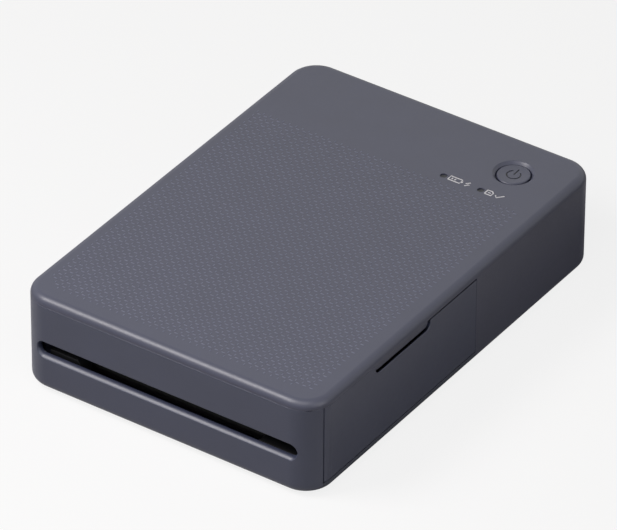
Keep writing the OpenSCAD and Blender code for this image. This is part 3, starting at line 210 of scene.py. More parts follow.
def loft(name, rings):
    """A closed body through rings of equally many points."""
    n = len(rings[0])
    verts = [p for ring in rings for p in ring]
    faces = [tuple(range(n))[::-1]]
    for i in range(len(rings) - 1):
        a, b = i * n, (i + 1) * n
        faces += [(a + k, a + (k + 1) % n, b + (k + 1) % n, b + k) for k in range(n)]
    last = (len(rings) - 1) * n
    faces.append(tuple(last + k for k in range(n)))
    return mesh_object(name, verts, faces)


def corner_outline(hw, hd, r, steps=CORNER_STEPS):
    """A rectangle with rounded corners, anticlockwise."""
    points = []
    for i, (sx, sy) in enumerate(((1, 1), (-1, 1), (-1, -1), (1, -1))):
        cx, cy = sx * (hw - r), sy * (hd - r)
        for k in range(steps + 1):
            a = math.radians(90 * (i + k / steps))
            points.append((cx + r * math.cos(a), cy + r * math.sin(a)))
    return points


def ring_at(hw, hd, r, inset, z):
    """A rounded rectangle at a height, drawn in on all sides."""
    return [(x, y, z) for x, y in corner_outline(hw - inset, hd - inset, max(r - inset, LEAST_R))]


def rounded_slab(name, hw, hd, r, z0, z1, low_round, top_round):
    """A slab with upright rounded corners; each edge's round is its reach inward and its height."""
    (low_in, low_high), (top_in, top_high) = low_round, top_round
    levels = []
    for k in range(EDGE_STEPS + 1):
        a = math.radians(90 * k / EDGE_STEPS)
        levels.append((low_in * (1 - math.sin(a)), z0 + low_high * (1 - math.cos(a))))
    for k in range(EDGE_STEPS + 1):
        a = math.radians(90 * k / EDGE_STEPS)
        levels.append((top_in * (1 - math.cos(a)), z1 - top_high * (1 - math.sin(a))))
    return loft(name, [ring_at(hw, hd, r, inset, z) for inset, z in levels])


def plate(name, hw, hd, r, z0, z1):
    """A slab with upright rounded corners and sharp edges."""
    return loft(name, [ring_at(hw, hd, r, 0, z) for z in (z0, z1)])


def box(name, low, high):
    """A plain box, which only ever cuts, joins or bounds another form."""
    (x0, y0, z0), (x1, y1, z1) = low, high
    rings = [[(x0, y0, z), (x1, y0, z), (x1, y1, z), (x0, y1, z)] for z in (z0, z1)]
    return loft(name, rings)


def lathe(name, profile, at=(0, 0, 0), axis="Z", steps=48):
    """A solid of revolution about Z or Y; profile is (radius, height) from bottom to top."""
    rings = []
    for r, h in profile:
        ring = []
        for k in range(steps):
            a = 2 * math.pi * k / steps
            u, v = r * math.cos(a), r * math.sin(a)
            p = {"Z": (u, v, h), "Y": (v, h, u)}[axis]
            ring.append(tuple(p[i] + at[i] for i in range(3)))
        rings.append(ring)
    return loft(name, rings)


def extrude_x(name, outline, x0, x1):
    """A prism along X of an outline in the YZ plane."""
    return loft(name, [[(x, y, z) for y, z in outline] for x in (x0, x1)])


def extrude_y(name, outline, y0, y1):
    """A prism along Y of an outline in the XZ plane."""
    return loft(name, [[(x, y, z) for x, z in outline] for y in (y0, y1)])


def stadium(half, r, cz, cx=0.0, steps=20):
    """A slot with full-round ends, in a plane whose first axis is across."""
    points = []
    for s, start in ((1, -90), (-1, 90)):
        for k in range(steps + 1):
            a = math.radians(start + 180 * k / steps)
            points.append((cx + s * (half - r) + r * math.cos(a), cz + r * math.sin(a)))
    return points


def combine(target, tools, operation):
    """Applies an exact boolean with each tool in turn, and removes the tools."""
    for tool in tools:
        mod = target.modifiers.new("cut", "BOOLEAN")
        mod.operation = operation
        mod.solver = "EXACT"
        mod.object = tool
    bpy.context.view_layer.update()
    graph = bpy.context.evaluated_depsgraph_get()
    mesh = bpy.data.meshes.new_from_object(target.evaluated_get(graph))
    target.modifiers.clear()
    old, target.data = target.data, mesh
    bpy.data.meshes.remove(old)
    for tool in tools:
        data = tool.data
        bpy.data.objects.remove(tool)
        bpy.data.meshes.remove(data)
    return target


def cut(target, *tools):
    """Takes the tools away from the target."""
    return combine(target, tools, "DIFFERENCE")


def join(target, *tools):
    """Adds the tools to the target."""
    return combine(target, tools, "UNION")


def keep(target, *tools):
    """Keeps what the target and the tools share."""
    return combine(target, tools, "INTERSECT")


def finish_edges(obj, width, where=None, other_width=0.0, segments=2):
    """Small rounds on the sharp edges, of another width where(point) says, and flat faces kept flat."""
    bm = bmesh.new()
    bm.from_mesh(obj.data)
    bmesh.ops.dissolve_limit(
        bm, angle_limit=math.radians(FLAT_DEGREES), verts=bm.verts, edges=bm.edges
    )
    bmesh.ops.remove_doubles(bm, verts=bm.verts, dist=MERGE * MM)
    bmesh.ops.dissolve_degenerate(bm, edges=bm.edges, dist=MERGE * MM)
    weight = bm.edges.layers.float.new("bevel_weight_edge")
    largest = max(width, other_width)
    for edge in bm.edges:
        if len(edge.link_faces) != 2 or edge.calc_face_angle(0) < math.radians(SHARP_DEGREES):
            continue
        middle = (edge.verts[0].co + edge.verts[1].co) / 2 / MM
        edge[weight] = (other_width if where and where(middle) else width) / largest
    bm.to_mesh(obj.data)
    bm.free()
    bevel = obj.modifiers.new("rounds", "BEVEL")
    bevel.width = largest * MM
    bevel.segments = segments
    bevel.limit_method = "WEIGHT"
    bevel.use_clamp_overlap = False
    return smooth(obj)


def smooth(obj):
    """Smooth shading that keeps large flat faces flat."""
    for poly in obj.data.polygons:
        poly.use_smooth = True
    weighted = obj.modifiers.new("normals", "WEIGHTED_NORMAL")
    weighted.keep_sharp = True
    weighted.weight = 100
    return obj


def bars(name, spots, size, z_low, z_top, inset, corners=2):
    """Many small pads with rounded corners, as one mesh of closed bodies."""
    hx, hy = size[0] / 2, size[1] / 2
    r = min(hx, hy) * BAR_CORNER
    low = corner_outline(hx, hy, r, corners)
    high = corner_outline(hx - inset, hy - inset, r - inset, corners)
    shoulder = z_low + (z_top - z_low) * BAR_SHOULDER
    n = len(low)
    verts, faces = [], []
    for x, y in spots:
        first = len(verts)
        for ring, z in ((low, z_low), (low, shoulder), (high, z_top)):
            verts += [(x + px, y + py, z) for px, py in ring]
        faces.append(tuple(first + k for k in reversed(range(n))))
        for level in range(2):
            a, b = first + level * n, first + (level + 1) * n
            faces += [(a + k, a + (k + 1) % n, b + (k + 1) % n, b + k) for k in range(n)]
        faces.append(tuple(first + 2 * n + k for k in range(n)))
    return mesh_object(name, verts, faces)


def smooth_by_angle(obj):
    """Smooth shading with the sharp edges kept."""
    for poly in obj.data.polygons:
        poly.use_smooth = True
    obj.data.set_sharp_from_angle(angle=math.radians(SHARP_DEGREES))
    return obj


def copy_of(name, node):
    """A new object with a CAD node's own mesh, to be given finer forms."""
    obj = bpy.data.objects.new(name, frame["nodes"][node].data.copy())
    bpy.context.scene.collection.objects.link(obj)
    return obj


# ================================================================ materials

def linear(colour):
    """sRGB values from 0 to 255 as linear numbers."""
    return tuple(
        c / 255 / 12.92 if c / 255 <= 0.04045 else ((c / 255 + 0.055) / 1.055) ** 2.4 for c in colour
    )


def shade(colour, factor):
    """A colour made darker or lighter."""
    return tuple(min(255, c * factor) for c in colour)


def principled(name, colour, roughness, metallic=0.0, **sockets):
    """A new material and its shader, with any further sockets set by name."""
    mat = bpy.data.materials.new(name)
    mat.use_nodes = True
    shader = mat.node_tree.nodes["Principled BSDF"]
    shader.inputs["Base Color"].default_value = (*linear(colour), 1)
    shader.inputs["Roughness"].default_value = roughness
    shader.inputs["Metallic"].default_value = metallic
    for key, value in sockets.items():
        shader.inputs[key.replace("_", " ")].default_value = value
    return mat, shader


def noise(mat, scale, detail=2.0, stretch=None, roughness=0.5):
    """A noise texture in the object's own coordinates; scale counts features per metre."""
    nodes, links = mat.node_tree.nodes, mat.node_tree.links
    coord = nodes.new("ShaderNodeTexCoord")
    mapping = nodes.new("ShaderNodeMapping")
    mapping.inputs["Scale"].default_value = stretch or (1, 1, 1)
    links.new(coord.outputs["Object"], mapping.inputs["Vector"])
    tex = nodes.new("ShaderNodeTexNoise")
    tex.inputs["Scale"].default_value = scale
    tex.inputs["Detail"].default_value = detail
    tex.inputs["Roughness"].default_value = roughness
    links.new(mapping.outputs["Vector"], tex.inputs["Vector"])
    return tex.outputs["Fac"]


def striped(mat, per_mm, axis="X", share=0.5, soft=0.08):
    """0..1 stripes across an axis, in the object's own coordinates."""
    nodes, links = mat.node_tree.nodes, mat.node_tree.links
    coord = nodes.new("ShaderNodeTexCoord")
    split = nodes.new("ShaderNodeSeparateXYZ")
    links.new(coord.outputs["Object"], split.inputs[0])
    wave = nodes.new("ShaderNodeMath")
    wave.operation = "MULTIPLY"
    wave.inputs[1].default_value = per_mm / MM
    links.new(split.outputs[axis], wave.inputs[0])
    part = nodes.new("ShaderNodeMath")
    part.operation = "PINGPONG"
    part.inputs[1].default_value = 1.0
    links.new(wave.outputs[0], part.inputs[0])
    edge = nodes.new("ShaderNodeMapRange")
    edge.inputs["From Min"].default_value = share - soft
    edge.inputs["From Max"].default_value = share + soft
    links.new(part.outputs[0], edge.inputs["Value"])
    return edge.outputs["Result"]


def vary_colour(mat, shader, value, colour_a, colour_b):
    """Two tints of the base colour, laid out by a pattern."""
    ramp = mat.node_tree.nodes.new("ShaderNodeValToRGB")
    ramp.color_ramp.elements[0].position = TINT_FROM
    ramp.color_ramp.elements[1].position = TINT_TO
    ramp.color_ramp.elements[0].color = (*linear(colour_a), 1)
    ramp.color_ramp.elements[1].color = (*linear(colour_b), 1)
    mat.node_tree.links.new(value, ramp.inputs["Fac"])
    mat.node_tree.links.new(ramp.outputs["Color"], shader.inputs["Base Color"])


def vary_roughness(mat, shader, value, low, high):
    """The roughness from low to high, laid out by a pattern."""
    node = mat.node_tree.nodes.new("ShaderNodeMapRange")
    node.inputs["To Min"].default_value = low
    node.inputs["To Max"].default_value = high
    mat.node_tree.links.new(value, node.inputs["Value"])
    mat.node_tree.links.new(node.outputs["Result"], shader.inputs["Roughness"])


def add_bump(mat, shader, height, strength, distance_mm):
    """Fine relief from a pattern."""
    bump = mat.node_tree.nodes.new("ShaderNodeBump")
    bump.inputs["Strength"].default_value = strength
    bump.inputs["Distance"].default_value = distance_mm * MM
    mat.node_tree.links.new(height, bump.inputs["Height"])
    mat.node_tree.links.new(bump.outputs["Normal"], shader.inputs["Normal"])


def matte_plastic(
    name, colour, roughness=0.5, grain=5200, grain_depth=0.012, mottle=0.02, specular=0.5
):
    """Moulded plastic with a fine spark-eroded grain, a faint mottle and uneven gloss."""
    mat, shader = principled(name, colour, roughness, Specular_IOR_Level=specular)
    tints = shade(colour, 1 - mottle), shade(colour, 1 + mottle)
    vary_colour(mat, shader, noise(mat, MOTTLE_SCALE, 3), *tints)
    add_bump(mat, shader, noise(mat, grain, 3, roughness=0.6), PLASTIC_BUMP, grain_depth)
    vary_roughness(mat, shader, noise(mat, GLOSS_SCALE, 2), roughness - 0.04, roughness + 0.05)
    return mat


def metal(name, colour, roughness, stretch=(1, 1, 1), scale=900, depth=0.004):
    """Metal with fine marks, drawn out along one direction where stretch says."""
    mat, shader = principled(name, colour, roughness, 1.0)
    marks = noise(mat, scale, 4, stretch, 0.6)
    tints = shade(colour, 0.94), shade(colour, 1.04)
    vary_colour(mat, shader, noise(mat, METAL_TINT_SCALE, 2), *tints)
    add_bump(mat, shader, marks, METAL_BUMP, depth)
    vary_roughness(mat, shader, marks, roughness - 0.08, roughness + 0.12)
    return mat


def surface(name, colour, roughness, tint, tints, relief, strength, depth, **sockets):
    """Two tints by one pattern, and relief by another, or by the same one where relief is None."""
    mat, shader = principled(name, colour, roughness, **sockets)
    pattern = tint(mat)
    vary_colour(mat, shader, pattern, *tints)
    add_bump(mat, shader, relief(mat) if relief else pattern, strength, depth)
    return mat


def grains(*values, **named):
    """A noise pattern for surface(), made once its material is there."""
    return lambda mat: noise(mat, *values, **named)


def stripes(*values):
    """A striped pattern for surface(), made once its material is there."""
    return lambda mat: striped(mat, *values)


RUBBER = surface(
    "rubber", (38, 38, 41), 0.78,
    grains(150, 3), ((33, 33, 36), (46, 46, 50)),
    grains(3500, 4, roughness=0.7), 0.6, 0.03,
)
BOARD = surface(
    "board_mask", (22, 78, 48), 0.28,
    stripes(1.1, "X", 0.62), ((18, 66, 41), (34, 98, 60)),
    None, 0.5, 0.03,
)
BATTERY_FILM = surface(
    "battery_film", (38, 74, 128), 0.25,
    grains(60, 2), ((34, 66, 118), (44, 84, 140)),
    grains(260, 2, (1, 0.3, 1)), 0.5, 0.12,
    Coat_Weight=0.4, Coat_Roughness=0.1,
)
RIBBON_DYE = surface(
    "ribbon_dye", (64, 40, 84), 0.22,
    stripes(0.03, "Y", 0.5, 0.02), ((70, 40, 78), (52, 62, 110)),
    grains(200, 2, (0.2, 1, 1)), 0.3, 0.03,
)
FLEX_FILM = surface(
    "flex_film", (176, 110, 40), 0.3,
    stripes(2.0, "X", 0.5), ((140, 78, 26), (196, 128, 52)),
    None, 0.4, 0.02,
)
LED_EPOXY = surface(
    "led_epoxy", (224, 222, 206), 0.18,
    grains(900, 2), ((214, 212, 196), (232, 230, 216)),
    grains(1500, 2), 0.2, 0.01,
    Coat_Weight=0.5,
)
TINTED_LENS = surface(
    "lens_tinted", (30, 32, 36), 0.3,
    grains(800, 2), ((26, 28, 32), (36, 38, 42)),
    grains(2500, 2), 0.2, 0.01,
    Coat_Weight=0.3,
)
HEAD_GLAZE = surface(
    "head_glaze", (226, 224, 214), 0.14,
    grains(250, 2), ((218, 215, 203), (232, 230, 222)),
    grains(700, 2), 0.2, 0.01,
    Coat_Weight=0.6,
)

# by the record's material slot
FINISHES = {
    "case_upper": matte_plastic("case_upper_grain", LID_BLUE, CASE_ROUGH, specular=CASE_SPECULAR),
    "case_front": matte_plastic("case_front_grain", CASE_BLUE, CASE_ROUGH, specular=CASE_SPECULAR),
    "case_side": matte_plastic("case_side_grain", CASE_BLUE, CASE_ROUGH, specular=CASE_SPECULAR),
    "case_under": matte_plastic("case_under_grain", (66, 70, 83), 0.5, mottle=0.03),
    "inner_plastic": matte_plastic("inner_grain", (22, 23, 26), 0.6, 3000, 0.02),
    "gear_plastic": matte_plastic("gear_acetal", (222, 220, 210), 0.35, 2500, 0.005),
    "rubber": RUBBER,
    "steel_sheet": metal("steel_rolled", (184, 186, 190), 0.38, (0.05, 1, 1)),
    "steel_pin": metal("steel_ground", (190, 190, 194), 0.25, (0.1, 1, 1), 1600),
    "brass": metal("brass_turned", (206, 172, 96), 0.3, (0.1, 1, 1), 1400),
    "aluminium": metal("aluminium_drawn", (204, 206, 210), 0.42, (0.05, 1, 1)),
    "ceramic": HEAD_GLAZE,
    "lens_dark": TINTED_LENS,
    "led": LED_EPOXY,
    "board_green": BOARD,
    "chip_black": matte_plastic("chip_epoxy", (28, 28, 31), 0.6, 4500, 0.015),
    "battery_wrap": BATTERY_FILM,
    "film": RIBBON_DYE,
    "flex_amber": FLEX_FILM,
}
# by CAD node, where one differs from its slot's finish
OWN_FINISHES = {
    # the tie rods get near-black matte plastic in place of their slot's steel
    "tie_rods": matte_plastic("rod_near_black", (18, 18, 20), 0.6, 3000),
    "feed_roller": metal("roller_grit", (62, 62, 66), 0.6, scale=4000, depth=0.02),
    "cassette_shell": matte_plastic("cassette_grain", (62, 64, 69), 0.5, 2600, 0.015),
    "takeup_spool": matte_plastic("spool_grain", (168, 168, 164), 0.45, 2600),
    "supply_spool": matte_plastic("spool_grain_2", (168, 168, 164), 0.45, 2600),
}
# The bars' colour is much lighter than the lid's. This is painted sheen for the light caught on their
# raised faces. The grain is the plastic's own.
BAR_PAINTED_SHEEN = matte_plastic("lid_bar_grain_painted_sheen", (114, 117, 137), 0.42)
# A near-black piece in the bottom of the power mark's groove, which makes the mark read dark.
MARK_GROOVE_DARK = matte_plastic("mark_groove_dark", (15, 17, 22), 0.55)
INK_FINISH = surface(
    "print_ink", (250, 250, 253), 0.6,
    grains(1800, 2), ((246, 246, 250), (254, 254, 255)),
    grains(6000, 2), 0.3, 0.005,
)


# ================================================================ casing

def casing_slab(name):
    """The whole outer form, solid."""
    return rounded_slab(name, HALF_W, HALF_D, CORNER_R, Z_UNDER, Z_LID, BOTTOM_ROUND, TOP_ROUND)


def shell(name):
    """The casing as one hollow form, open below."""
    return cut(casing_slab(name), plate("tool", INNER_W, INNER_D, INNER_R, Z_UNDER - OVER, Z_CEILING))


def upright(radius, low, high, at, steps=48):
    """A plain round tool or post, standing at a place."""
    return lathe("tool", [(radius, low), (radius, high)], (*at, 0), steps=steps)


def notch_outline(margin, deep, steps=8):
    """The finger notch in the YZ plane, with rounded lower corners."""
    r = NOTCH_R - margin
    y0, y1, low = NOTCH_Y0 + margin, NOTCH_Y1 - margin, Z_SEAM - deep
    points = [(y0, Z_SEAM + NOTCH_PAST)]
    for cy, start in ((y0 + r, 180), (y1 - r, 270)):
        for k in range(steps + 1):
            a = math.radians(start + 90 * k / steps)
            points.append((cy + r * math.cos(a), low + r + r * math.sin(a)))
    points.append((y1, Z_SEAM + NOTCH_PAST))
    return points


def usb_outline(grow):
    """The charging port's opening in the XZ plane."""
    return stadium(USB_W / 2 + grow, USB_H / 2 + grow, USB_Z, USB_X)


def dish_profile():
    """The sunk dish around the button, with a sloped wall and a flat floor, and the button's hole."""
    floor, foot = Z_TOP - DISH_DEEP, DISH_R - DISH_WALL
    hole = BUTTON_R + BUTTON_GAP
    return [
        (hole, Z_CEILING - HOLE_PAST),
        (hole, floor),
        (foot - DISH_FOOT[0], floor),
        (foot, floor + DISH_FOOT[1]),
        (DISH_R, Z_TOP + DISH_LIP),
        (DISH_R + DISH_PAST, Z_TOP + DISH_PAST),
    ]


def make_top_cover():
    """The upper casing: without its front and the door's opening, with posts, collar and sockets."""
    obj = cut(
        shell("top_cover_shell"),
        box("tool", (-PAST_X, -PAST_Y, PAST_Z), (PAST_X, DOOR_Y0, Z_SEAM)),
        box("tool", (INNER_W - DOOR_REACH, DOOR_CUT_Y0, PAST_Z), (PAST_X, DOOR_Y1, Z_SEAM)),
        box(
            "tool",
            (SEAM_RISE_X, SEAM_RISE_Y0, Z_SEAM - OVER),
            (PAST_X, DOOR_Y1, Z_SEAM + SEAM_RISE),
        ),
    )
    root = Z_CEILING + ROOTED
    obj = join(
        obj,
        extrude_x("tool", notch_outline(TONGUE_GAP, TONGUE_DEEP), *TONGUE_X),
        upright(DISH_R + COLLAR_WALL, Z_CEILING - COLLAR_DEEP, root, BUTTON),
        *[upright(BOSS_R, Z_FLOOR + BOSS_LIFT, root, at) for at in BOSSES],
        *[upright(LAMP_R + SOCKET_WALL, Z_CEILING - SOCKET_DEEP, root, at) for at in LAMPS],
    )
    obj = cut(
        obj,
        lathe("tool", dish_profile(), (*BUTTON, 0), steps=FINE_STEPS),
        upright(DISH_R + COLLAR_CLEAR, Z_CEILING - 3 * OVER, Z_CEILING, BUTTON),
        extrude_y("tool", usb_outline(USB_GAP), HALF_D - USB_DEEP, HALF_D + OVER),
        *[
            upright(LAMP_R + LAMP_HOLE_GAP, Z_CEILING - 2 * OVER, Z_TOP + OVER, at, SOCKET_STEPS)
            for at in LAMPS
        ],
        *[upright(SCREW_R, *SCREW_Z, at, SCREW_STEPS) for at in BOSSES],
    )
    return finish_edges(
        obj, EDGE, lambda p: abs(p.z - Z_SEAM) < SEAM_NEAR and p.y < SEAM_FRONT_Y, SEAM_EDGE
    )


def slot_rings():
    """The slot's opening from inside outward, with a lip that curves out to the front face."""
    steep = math.radians(LIP_ANGLE)
    radius = LIP_DEEP / math.sin(steep)
    levels = [(0, LIP_DEEP + WALL)]
    for k in range(LIP_STEPS + 1):
        a = steep * k / LIP_STEPS
        levels.append((radius * (1 - math.cos(a)), LIP_DEEP - radius * math.sin(a)))
    levels.append((levels[-1][0] + OVER * math.tan(steep), -OVER))
    return [
        [(x, deep - HALF_D, z) for x, z in stadium(SLOT_HALF + grow, SLOT_R + grow, Z_SLOT)]
        for grow, deep in levels
    ]


def make_front_panel():
    """The front below the seam, with the slot, and a ledge that reaches up behind the top cover."""
    z_high = Z_SEAM - SEAM_LINE
    ledge_low, ledge_back = Z_SEAM - LEDGE_DEEP, -INNER_D + LEDGE_THICK
    obj = keep(
        shell("front_panel_shell"),
        box("tool", (-PAST_X, -PAST_Y, PAST_Z), (PAST_X, DOOR_Y0 - FIT_GAP / 2, z_high)),
    )
    obj = join(
        obj,
        box("tool", (-LEDGE_HALF, -INNER_D - ROOTED, ledge_low), (LEDGE_HALF, ledge_back, z_high)),
        box(
            "tool",
            (-LEDGE_HALF, -INNER_D + FIT_GAP, ledge_low),
            (LEDGE_HALF, ledge_back, Z_CEILING - FIT_GAP),
        ),
    )
    obj = cut(obj, loft("tool", slot_rings()))
    return finish_edges(
        obj,
        EDGE,
        lambda p: p.z > z_high - PANEL_NEAR and p.y < -INNER_D - PANEL_OUTER,
        FRONT_SEAM_EDGE,
    )


def door_edge_strip():
    """What is cut off along the door's lower outer edge to leave it rounded, in the XZ plane."""
    r = DOOR_EDGE_R
    arc = [
        (HALF_W - r + r * math.cos(math.radians(a)), DOOR_Z0 + r + r * math.sin(math.radians(a)))
        for a in range(0, -91, -DOOR_EDGE_STEP)
    ]
    below = DOOR_Z0 - OVER
    return [(HALF_W + OVER, below), (HALF_W + OVER, DOOR_Z0 + r)] + arc + [(HALF_W - r, below)]


def make_ink_door():
    """The door's panel with its notch and seam lip, and hinge ears for the knuckles and the pin."""
    obj = cut(
        casing_slab("ink_door_panel"),
        plate("tool", INNER_W, INNER_D, INNER_R, Z_UNDER - OVER, Z_TOP + OVER),
    )
    region = box(
        "tool",
        (INNER_W - DOOR_REACH, DOOR_Y0 + DOOR_GAP, DOOR_Z0),
        (PAST_X, DOOR_Y1 - DOOR_REAR_GAP, DOOR_Z1),
    )
    obj = keep(obj, region)
    low, inner = DOOR_Z1 - DOOR_DROP, INNER_W - 2 * OVER
    obj = cut(
        obj,
        box("tool", (inner, NOTCH_Y1 - OVER, low), (HALF_W + 2 * OVER, DOOR_Y1 + OVER, Z_TOP)),
        box(
            "tool",
            (inner, NOTCH_Y1 - OVER, low - SEAM_DEEP),
            (HALF_W - SEAM_LIP, DOOR_Y1 - SEAM_END, Z_TOP),
        ),
    )
    obj = cut(obj, extrude_y("tool", door_edge_strip(), DOOR_Y0 - OVER, DOOR_Y1 + OVER))

    def round_hinge(radius, y, half):
        return lathe("tool", [(radius, y - half), (radius, y + half)], (HINGE_X, 0, HINGE_Z), "Y")

    obj = join(obj, *[round_hinge(EAR_R, y, EAR_HALF) for y in HINGE_YS])
    grip_deep = NOTCH_DEEP + GRIP_DEEP
    cutters = [
        extrude_x("tool", notch_outline(0, NOTCH_DEEP), INNER_W - OVER, HALF_W + OVER),
        extrude_x("tool", notch_outline(GRIP_MARGIN, grip_deep), INNER_W - OVER, HALF_W - GRIP_LIP),
    ]
    for y in HINGE_YS:
        for s in (-1, 1):
            mid = y + s * KNUCKLE_STEP
            cutters.append(round_hinge(KNUCKLE_R, mid, KNUCKLE_HALF))
            cutters.append(
                box(
                    "tool",
                    (HINGE_X - OVER, mid - KNUCKLE_HALF, DOOR_Z0 - OVER),
                    (HINGE_X + KNUCKLE_R, mid + KNUCKLE_HALF, HINGE_Z),
                )
            )
        cutters.append(round_hinge(PIN_HOLE_R, y, PIN_HOLE_HALF))
    obj = cut(obj, *cutters)
    return finish_edges(
        obj, EDGE, lambda p: p.x > HALF_W - NOTCH_NEAR and p.z > DOOR_Z1 - NOTCH_ZONE, NOTCH_EDGE
    )


def make_base_tray():
    """The bottom plate, whose sill under the door follows the casing's rounded bottom edge."""
    obj = copy_of("base_tray_moulding", "base_tray")
    keep(obj, rounded_slab("tool", HALF_W, HALF_D, CORNER_R, Z_UNDER, Z_TOP, BOTTOM_ROUND, TOP_ROUND))
    return finish_edges(obj, TRAY_EDGE)


def make_exit_guides():
    """The guide blocks in the slot, the left one shorter at its inner end."""
    obj = copy_of("exit_guide_blocks", "exit_guides")
    for vertex in obj.data.vertices:
        if GUIDE_END[0] * MM < vertex.co.x < GUIDE_END[1] * MM:
            vertex.co.x -= GUIDE_SHIFT * MM
    return finish_edges(obj, GUIDE_EDGE)


# ================================================================ lid pattern, button, lamps, marks

def in_pattern(x, y):
    """True inside the pattern's field, whose corners follow the lid's rounding."""
    half_w, half_d = HALF_W - PATTERN_MARGIN[0], HALF_D - PATTERN_MARGIN[1]
    dx, dy = abs(x) - (half_w - PATTERN_CORNER), -y - (half_d - PATTERN_CORNER)
    return dx <= 0 or dy <= 0 or math.hypot(dx, dy) <= PATTERN_CORNER


def make_pattern():
    """The long and the short bars, each as one piece."""
    xs = [BARS_X1 - BAR_PITCH * k for k in range(BAR_COLUMNS)]
    ys = [BARS_Y1 - BAR_PITCH * j for j in range(BAR_ROWS)]
    short_ys = [*ys, ys[-1] - BAR_PITCH]
    across = [(x, y) for x in xs for y in ys if in_pattern(x, y)]
    between = [
        (x - BAR_PITCH / 2, y + SHORT_RISE) for x in xs for y in short_ys if in_pattern(x, y)
    ]
    low = Z_LID - BAR_SUNK
    return (
        smooth(bars("lid_bars_across", across, LONG_BAR, low, Z_TOP, BAR_INSET)),
        smooth(bars("lid_bars_between", between, SHORT_BAR, low, Z_TOP, BAR_INSET)),
    )


def arc_band(r0, r1, start, end, steps=36):
    """A flat ring segment as an outline, in millimetres."""
    angles = [math.radians(start + (end - start) * k / steps) for k in range(steps + 1)]
    outer = [(r1 * math.cos(a), r1 * math.sin(a)) for a in angles]
    inner = [(r0 * math.cos(a), r0 * math.sin(a)) for a in reversed(angles)]
    return outer + inner


def power_mark(name, z0, z1, shrink=0.0):
    """The power symbol as two bodies: an open ring and a bar."""
    bx, by = BUTTON
    w = MARK_STROKE / 2 - shrink
    ring = arc_band(MARK_R - MARK_STROKE / 2 + shrink, MARK_R + MARK_STROKE / 2 - shrink, *MARK_ENDS)
    bar = [(-w, MARK_BAR[0]), (w, MARK_BAR[0]), (w, MARK_BAR[1]), (-w, MARK_BAR[1])]
    return [
        loft(name, [[(bx + x, by + y, z) for x, y in outline] for z in (z0, z1)])
        for outline in (ring, bar)
    ]


def make_button():
    """The button's cap with a stem and a flange under the lid, and a near-black piece in its mark's
    groove.
    """
    r, low, high = BUTTON_R, Z_CEILING - FLANGE_DROP, Z_TOP - BUTTON_SUNK
    profile = [
        (STEM_R, STEM_LOW),
        (STEM_R, low),
        (DISH_R, low),
        (DISH_R, low + FLANGE_THICK),
        (r, low + FLANGE_THICK),
        *[(r - inward, high - down) for inward, down in BUTTON_RIM],
        (BUTTON_MIDDLE[0], high - BUTTON_MIDDLE[1]),
    ]
    cap = lathe("power_button_cap", profile, (*BUTTON, 0), steps=FINE_STEPS)
    cut(cap, *power_mark("tool", high - MARK_DEEP, high + OVER))
    groove_dark_piece = join(*power_mark("power_mark_groove_dark", high - GROOVE_DARK_Z[0], high - GROOVE_DARK_Z[1], -GROOVE_DARK_GROW))
    return smooth_by_angle(cap), smooth_by_angle(groove_dark_piece)


def make_lamp_caps():
    """Two sunk caps with dished tops, as one piece."""
    r, rim = LAMP_R - LAMP_GAP, Z_TOP - LAMP_SUNK
    profile = [
        (r, Z_CEILING - LAMP_LOW),
        *[(r - inward, rim - down) for inward, down in LAMP_RIM],
        (LAMP_MIDDLE[0], rim - LAMP_MIDDLE[1]),
    ]
    caps = [lathe("lamp_caps", profile, (*at, 0), steps=LAMP_STEPS) for at in LAMPS]
    return smooth_by_angle(join(*caps))


def stroke(points, width):
    """The outline of a thin line along points, in millimetres."""
    left, right = [], []
    for i, (x, y) in enumerate(points):
        x0, y0 = points[max(i - 1, 0)]
        x1, y1 = points[min(i + 1, len(points) - 1)]
        length = math.hypot(x1 - x0, y1 - y0)
        nx, ny = -(y1 - y0) / length * width / 2, (x1 - x0) / length * width / 2
        left.append((x + nx, y + ny))
        right.append((x - nx, y - ny))
    return left + right[::-1]


def make_label_marks():
    """Printed pictograms beside the lamps: a battery and a bolt, and a sheet and a tick."""
    shapes = []
    for at, lines in zip(LAMPS, (BATTERY_MARK, SHEET_MARK)):
        for line in lines:
            outline = stroke([(at[0] + x, at[1] + y) for x, y in line], PRINT_STROKE)
            levels = (Z_LID - PRINT_HALF, Z_LID + PRINT_HALF)
            shapes.append(loft("label_marks", [[(x, y, z) for x, y in outline] for z in levels]))
    return join(*shapes)


# ================================================================ finishes and bodies

def wear(obj, material):
    """Gives an object one material."""
    obj.data.materials.clear()
    obj.data.materials.append(material)


def place(obj, slot, body="case", nodes=(), material=None):
    """Gives a piece its finish, its body and the nodes that it stands for."""
    wear(obj, material or FINISHES[slot])
    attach(obj, body)
    if nodes:
        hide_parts(*nodes)


def dress_nodes():
    """A finish for each CAD node, its own or by the material slot that its record names."""
    for part in frame["record"]["subparts"]:
        node = frame["nodes"][part["node"]]
        for slot in node.material_slots:
            slot.material = OWN_FINISHES.get(part["node"]) or FINISHES[part["material_slot"]]


def make_springs():
    """Copies of the two springs that a joint presses."""
    for name, node, body, joint, fixed, keep_share in SPRINGS:
        obj = copy_of(name, node)
        place(obj, "steel_pin", body, (node,))
        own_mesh(obj)


dress_nodes()
place(make_top_cover(), "case_upper", nodes=("top_cover",))
place(make_front_panel(), "case_front", nodes=("front_panel",))
place(make_ink_door(), "case_side", "ink_door", ("ink_door",))
place(make_base_tray(), "case_under", nodes=("base_tray",))
place(make_exit_guides(), "inner_plastic", nodes=("exit_guides",))
for bar_piece in make_pattern():
    place(bar_piece, "case_upper", material=BAR_PAINTED_SHEEN)
button_cap, button_mark = make_button()
place(button_cap, "case_upper", "power_button", ("power_button",))
place(button_mark, "case_upper", "power_button", material=MARK_GROOVE_DARK)
place(make_lamp_caps(), "lens_dark", nodes=("lamp_lenses",))
place(make_label_marks(), "gear_plastic", material=INK_FINISH)
make_springs()


# ================================================================ camera, floor and light

